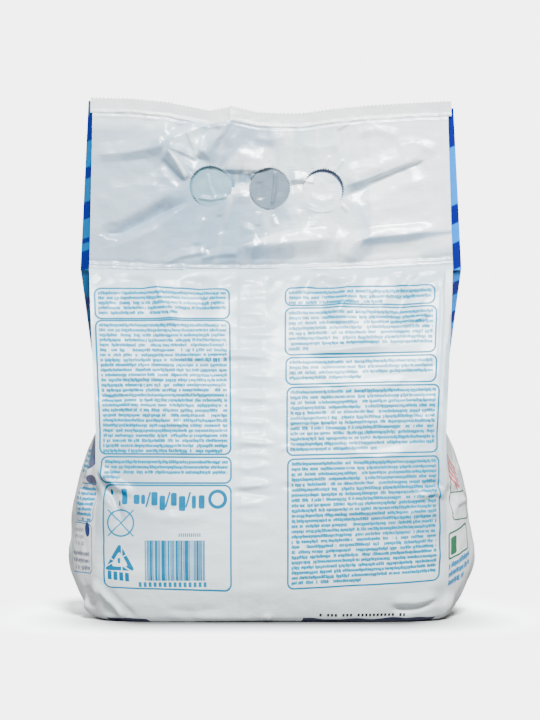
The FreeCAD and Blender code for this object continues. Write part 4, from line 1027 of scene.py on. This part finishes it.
# Fields where it catches the light.
LIGHT_FIELDS = [
    ([(-20, 221), (-9, 221.5), (-9, 226), (-21, 225)], 0.8, 0.75), ([(-24, 235), (4, 235), (2, 245), (-14, 246)], 1.5, 0.60),
    ([(36, 227), (70, 238.5), (64, 243), (36, 234)], 1.5, 0.55), ([(38, 216), (62, 217), (58, 226), (38, 218)], 1.5, 0.50),
    ([(-14, 194), (0, 195.5), (31, 198), (24, 202), (2, 200.5)], 0.6, 0.80), ([(8, 221.5), (16, 222), (15, 226), (9, 225)], 0.6, 0.70),
    ([(-52, 245), (-43, 229.5), (-41.5, 230.5), (-48, 241)], 0.5, 0.80), ([(-14, 231.5), (0, 232), (0, 237), (-13, 238)], 0.8, 0.60),
    ([(-96, 256), (-48, 256), (-48, 266), (-96, 267)], 2.0, 0.50), ([(12, 187), (32, 188), (32, 196), (12, 194)], 1.5, 0.50),
    ([(-50, 248), (-37, 241), (-33, 248), (-36, 256), (-46, 254)], 1.0, 0.45), ([(50, 200), (86, 203), (86, 208), (50, 206)], 1.5, 0.35),
]


def header_material():
    material, tree, shader, u, v = start_material("header_film")
    film_finish(tree, shader, u, v)
    shader.inputs["Roughness"].default_value = 0.30
    shader.inputs["Specular IOR Level"].default_value = 0.55
    shader.inputs["Coat Weight"].default_value = 0.40
    shader.inputs["Coat Roughness"].default_value = 0.20
    shade = noise(u, v, 0.03, 3.0, 6.0)
    # Painted shade: the header film is painted darker towards the left and lighter towards the right.
    drift = u + (shade - 0.5) * 30 + (v - 222) * 0.55
    left, right = (0.41, 0.51, 0.60), (0.86, 0.92, 0.95)
    base = blend_colour(drift.soft(-50, 45), left, right)
    # The printed film behind shows through as pale blue bands between the gussets' folds.
    middle = u.soft(-53, -51) * (1 - u.soft(49, 51))
    cloud = noise(u * 1.3 + v * 0.30, v * 0.30, 0.05, 2.0, 12.0)
    base = blend_colour(middle * cloud.soft(0.45, 0.62) * 0.40, base, (0.30, 0.46, 0.58))
    # Painted shade of the folds, together with the doubled film's blue, laid over the header's colour.
    for corners, soft, strength in SHADE_AND_BLUE_FIELDS:
        base = blend_colour(patch(u, v, corners, soft) * strength, base, (0.20, 0.31, 0.43))
    for corners, soft, strength in LIGHT_FIELDS:
        base = blend_colour(patch(u, v, corners, soft) * strength, base, (0.93, 0.96, 0.97))
    band = u.soft(11.0, 12.0) * (1 - u.soft(22.0, 23.0)) * v.soft(232, 250)
    base = blend_colour(band * 0.40, base, (0.34, 0.60, 0.70))
    # A pale teal field on the facet left of the big diagonal fold: partly painted light on that lit facet, partly the
    # teal of the print behind.
    teal = patch(u, v, [(-52, 250), (-36, 240), (-33, 247), (-22, 262), (-30, 262), (-44, 257)], 1.5)
    base = blend_colour(teal * 0.30, base, (0.52, 0.76, 0.82))
    beam = (1 - (u - 24.0 + (v - 240) * 0.06).abs().soft(0.5, 1.0)) * v.over(196) * v.under(262)
    base = blend_colour(beam * 0.25, base, (0.88, 0.86, 0.76))
    warm = noise(u * 2.2 - v * 0.5, v * 0.3, 0.05, 1.0, 15.0).soft(0.58, 0.66) * middle
    base = blend_colour(warm * 0.20, base, (0.84, 0.82, 0.74))
    # Below the weld the film lies on the powder and looks whiter.
    base = blend_colour(1 - (v - weld_height_node(u)).soft(-0.6, 0.2), base, WHITE_HIGH)
    tree.links.new(base, shader.inputs["Base Color"])
    return material


def weld_height_node(u):
    """The weld's line in film coordinates."""
    share = ((u + 18).abs() / 108).min(1.0)
    return WELD_Z - WELD_SAG * Node.math("COSINE", share * (math.pi / 2))


def plain_material(name, colour, roughness=0.32):
    material, tree, shader, u, v = start_material(name)
    film_finish(tree, shader, u, v)
    shader.inputs["Roughness"].default_value = roughness
    shade = noise(u, v, 0.05, 2.0, 2.0)
    tree.links.new(blend_colour(shade, tuple(c * 0.95 for c in colour), tuple(min(1, c * 1.03) for c in colour)),
                   shader.inputs["Base Color"])
    return material


def gusset_material():
    material, tree, shader, u, v = start_material("gusset_film")
    film_finish(tree, shader, u, v)
    shade = noise(u, v, 0.04, 2.0, 3.0)
    base = blend_colour(shade, (0.74, 0.75, 0.76), (0.80, 0.81, 0.815))
    left, right = u.under(100), u.over(150)
    w = u - 200
    # Left gusset.
    patch = (v - 78 - (u - 6).abs() * 0.5).over(0) * v.under(96) * u.under(13) * left
    base = blend_colour(patch * 0.9, base, (0.010, 0.026, 0.13))
    oval_u, oval_v = (u - 4.5) / 4.5, (v - 72.5) / 2.8
    base = blend_colour((oval_u * oval_u + oval_v * oval_v).under(1) * left * 0.9, base, (0.020, 0.012, 0.10))
    lines = [outline(rounded_box(u, v, 2.0, 20.0, 51.0, 70.5, 3), 0.5), outline(rounded_box(u, v, 3.0, 24.0, 24.5, 50.0, 3), 0.5),
             text_lines(u, v, 3.5, 18.5, 69.0, 7, 2.6, 0.6), text_lines(u, v, 10.0, 22.0, 88.0, 6, 2.6, 0.6)]
    base = inked(gathered(lines) * left, base, (0.006, 0.18, 0.38))
    drop_u, drop_v = (u - 6.5) / 2.0, (v - 47.0) / 3.8
    base = blend_colour((drop_u * drop_u + drop_v * drop_v).under(1) * left, base, (0.012, 0.026, 0.12))
    marks = text_lines(u, v, 5.0, 22.0, 36.0, 3, 3.6, 0.8, 1.0).max(text_lines(u, v, 10.0, 22.0, 48.0, 3, 3.4, 0.7, 0.7))
    base = blend_colour(marks * left, base, srgb(38, 52, 92))
    # Right gusset.
    red = text_lines(w, v + w * 0.8, 2.0, 16.0, 92.0, 5, 3.2, 0.8, 0.8)
    base = inked(red * right, base, (0.50, 0.016, 0.035))
    green = [outline(rounded_box(w, v, 5.0, 25.0, 52.0, 66.0, 2), 0.6), outline(rounded_box(w, v - w * 0.25, 2.0, 20.0, 31.5, 44.5, 1), 0.9),
             outline(w - 6.0 - (v - 66) * -0.25, 0.6) * v.over(66) * v.under(86), (1 - rounded_box(w, v - w * 0.25, 3.5, 8.5, 33.0, 42.0, 1).soft(-0.2, 0.2)) * 0.8]
    base = inked(gathered(green) * right, base, (0.010, 0.10, 0.038))
    blue = text_lines(w, v - w * 0.3, 2.0, 22.0, 29.5, 3, 4.4, 0.7, 0.9)
    base = inked(blue * right, base, (0.002, 0.13, 0.32))
    # Towards the picture panel's corner the gusset carries that panel's blue.
    for side, corner in ((-1, 100.0), (1, 300.0)):
        reach = 1.5 + 7.5 * v.soft(118, 180)
        edge = (u - corner + reach).soft(-0.4, 0.4) * u.under(corner + 0.5) * v.soft(108, 122)
        base = blend_colour(edge, base, strip_colour(u - corner + 96.0, v, side))
    tree.links.new(base, shader.inputs["Base Color"])
    return material


def build_strips(materials):
    """The picture panel's film seen past the text panel's edges."""
    pieces = []
    # Beside the header, each strip runs from the panel's edge out to the wider back film.
    rows = 90
    t = np.linspace(0, 1, rows)
    for side, name in ((-1, "left_strip"), (1, "right_strip")):
        z0, z1 = POUCH_Z - 0.5, seal_line(side * 92.0) + (4.0 if side > 0 else 6.0)
        z = mix(float(z0), float(z1), t)
        inner = front_half(side, t) - 1.5
        outer = mix(WELD_HALF + FLARE_WELD, HEADER_HALF + FLARE_TOP, t)
        cols = 9
        C, T = np.meshgrid(np.linspace(0, 1, cols), t)
        X = side * mix(inner[:, None], outer[:, None], C)
        Z = np.repeat(z[:, None], cols, 1)
        Y = mix(0.25, 0.9, C) + 0.12 * value_noise(X, Z, 6, 9, 91)
        faces = grid_faces(rows, cols)
        pieces.append(make_object(name, np.stack([X, Y, Z], -1).reshape(-1, 3), faces if side > 0 else faces[:, ::-1],
                                  np.stack([X, Z], -1).reshape(-1, 2), materials[name]))
    return pieces


materials = {
    "text": text_material(), "picture": picture_material(), "header": header_material(),
    # Disc colours: the middle disc's dark grey is painted shade, as it is turned down away from the light; the left
    # disc's teal-grey is partly painted shade and partly the blue print seen through it; the right disc has the film's
    # own pale colour.
    "left_disc": plain_material("left_disc_film", (0.22, 0.36, 0.43)),
    "middle_disc": plain_material("middle_disc_film", (0.15, 0.20, 0.25)),
    "right_disc": plain_material("right_disc_film", (0.72, 0.78, 0.84)), "gusset": gusset_material(),
    "left_strip": strip_material(-1), "right_strip": strip_material(1),
    "band": plain_material("band_film", (0.73, 0.74, 0.745), 0.38),
    # Films behind the discs: partly the print of the film behind, partly painted shade of the gap behind each disc.
    "left_behind": plain_material("left_film_behind", (0.10, 0.26, 0.36), 0.4),
    "middle_behind": plain_material("middle_film_behind", (0.30, 0.38, 0.44), 0.4),
    "right_behind": plain_material("right_film_behind", (0.09, 0.13, 0.22), 0.4),
    "foot": plain_material("foot_film", (0.010, 0.020, 0.09), 0.4),
}
pieces = build_pouch(materials) + build_header(materials) + build_band(materials) + build_rims(materials) + build_strips(materials)
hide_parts("bag")


# Floor, light and camera.
def floor_material():
    """A plain pale sweep: lit next to the bag, where its shadow falls and a contact shadow is painted round the foot,
    and even further out.
    """
    material = bpy.data.materials.new("studio_floor")
    material.use_nodes = True
    tree = material.node_tree
    tree.nodes.clear()
    Node.tree = tree
    position = tree.nodes.new("ShaderNodeTexCoord")
    split = tree.nodes.new("ShaderNodeSeparateXYZ")
    tree.links.new(position.outputs["Object"], split.inputs[0])
    x, y, z = [Node(output) for output in split.outputs]
    away = rounded_box(x, y, -0.092, 0.092, -0.035, 0.035, 0.012)
    near = 1 - away.max(z).soft(0.030, 0.060)
    # Painted contact shadow: the lit floor is darkened close round the foot and further out in front of it.
    ahead = rounded_box(x, y, -0.074, 0.074, -0.037, -0.010, 0.012)
    painted_contact_shadow = away.soft(-0.006, 0.012).min(ahead.soft(0.001, 0.060))
    lit = tree.nodes.new("ShaderNodeBsdfDiffuse")
    tree.links.new(blend_colour(painted_contact_shadow, tuple(0.06 * c for c in FLOOR_LIT), FLOOR_LIT), lit.inputs["Color"])
    even = tree.nodes.new("ShaderNodeEmission")
    even.inputs["Color"].default_value = (1, 1, 1, 1)
    even.inputs["Strength"].default_value = FLOOR_LEVEL
    seen = tree.nodes.new("ShaderNodeMixShader")
    tree.links.new(near.socket, seen.inputs[0])
    tree.links.new(even.outputs[0], seen.inputs[1])
    tree.links.new(lit.outputs[0], seen.inputs[2])
    bounce = tree.nodes.new("ShaderNodeBsdfDiffuse")
    bounce.inputs["Color"].default_value = (0.20, 0.20, 0.20, 1)
    path = tree.nodes.new("ShaderNodeLightPath")
    final = tree.nodes.new("ShaderNodeMixShader")
    tree.links.new(path.outputs["Is Camera Ray"], final.inputs[0])
    tree.links.new(bounce.outputs[0], final.inputs[1])
    tree.links.new(seen.outputs[0], final.inputs[2])
    out = tree.nodes.new("ShaderNodeOutputMaterial")
    tree.links.new(final.outputs[0], out.inputs[0])
    return material


def build_floor():
    profile = [(-3.0, 0.0), (1.2, 0.0)]
    for k in range(1, 17):
        a = math.pi / 2 * k / 16
        profile.append((1.2 + 1.2 * math.sin(a), 1.2 * (1 - math.cos(a))))
    profile.append((2.4, 5.0))
    verts = [(x, y, z) for y, z in profile for x in (-5, 5)]
    faces = [(2 * i, 2 * i + 1, 2 * i + 3, 2 * i + 2) for i in range(len(profile) - 1)]
    mesh = bpy.data.meshes.new("studio_floor")
    mesh.from_pydata(verts, [], faces)
    mesh.polygons.foreach_set("use_smooth", [True] * len(faces))
    mesh.materials.append(floor_material())
    floor = bpy.data.objects.new("studio_floor", mesh)
    bpy.context.scene.collection.objects.link(floor)
    return floor


def add_light(name, place, target, size, power, colour=(1, 1, 1)):
    data = bpy.data.lights.new(name, "AREA")
    data.shape = "RECTANGLE"
    data.size, data.size_y = size
    data.energy = power
    data.color = colour
    light = bpy.data.objects.new(name, data)
    bpy.context.scene.collection.objects.link(light)
    light.location = place
    light.rotation_euler = (Vector(target) - Vector(place)).to_track_quat("-Z", "Y").to_euler()
    return light


FLOOR_LEVEL, FLOOR_LIT = 5.2, (2.2, 2.2, 2.2)
build_floor()
add_light("key", (0.22, -1.19, 1.26), (0, 0, 0.14), (0.42, 0.34), 92, (0.96, 0.99, 1.0))
add_light("fill", (-1.2, -1.4, 0.7), (0, 0, 0.12), (1.2, 1.0), 10, (0.96, 0.99, 1.0))
add_light("back", (-0.7, 1.5, 1.1), (0, 0, 0.14), (1.2, 1.0), 30, (0.96, 0.99, 1.0))

world = bpy.data.worlds.new("studio")
bpy.context.scene.world = world
world.use_nodes = True
background = world.node_tree.nodes["Background"]
background.inputs["Color"].default_value = (1, 1, 1, 1)
Node.tree = world.node_tree
eye = Node(world.node_tree.nodes.new("ShaderNodeLightPath").outputs["Is Camera Ray"])
world.node_tree.links.new((eye * (FLOOR_LEVEL - 0.34) + 0.34).socket, background.inputs["Strength"])

DISTANCE, LENS = 1.2, 100.0
camera_data = bpy.data.cameras.new("camera")
camera = bpy.data.objects.new("camera", camera_data)
bpy.context.scene.collection.objects.link(camera)
bpy.context.scene.camera = camera
camera_data.sensor_fit = "HORIZONTAL"
camera_data.sensor_width = 36.0
camera_data.lens = 36.0 * DISTANCE / (540 * 0.508 * MM)
camera.location = (-0.0005, -0.042 - DISTANCE, 0.150)
camera.rotation_euler = (Vector((-0.0005, -0.042, 0.1344)) - camera.location).to_track_quat("-Z", "Y").to_euler()
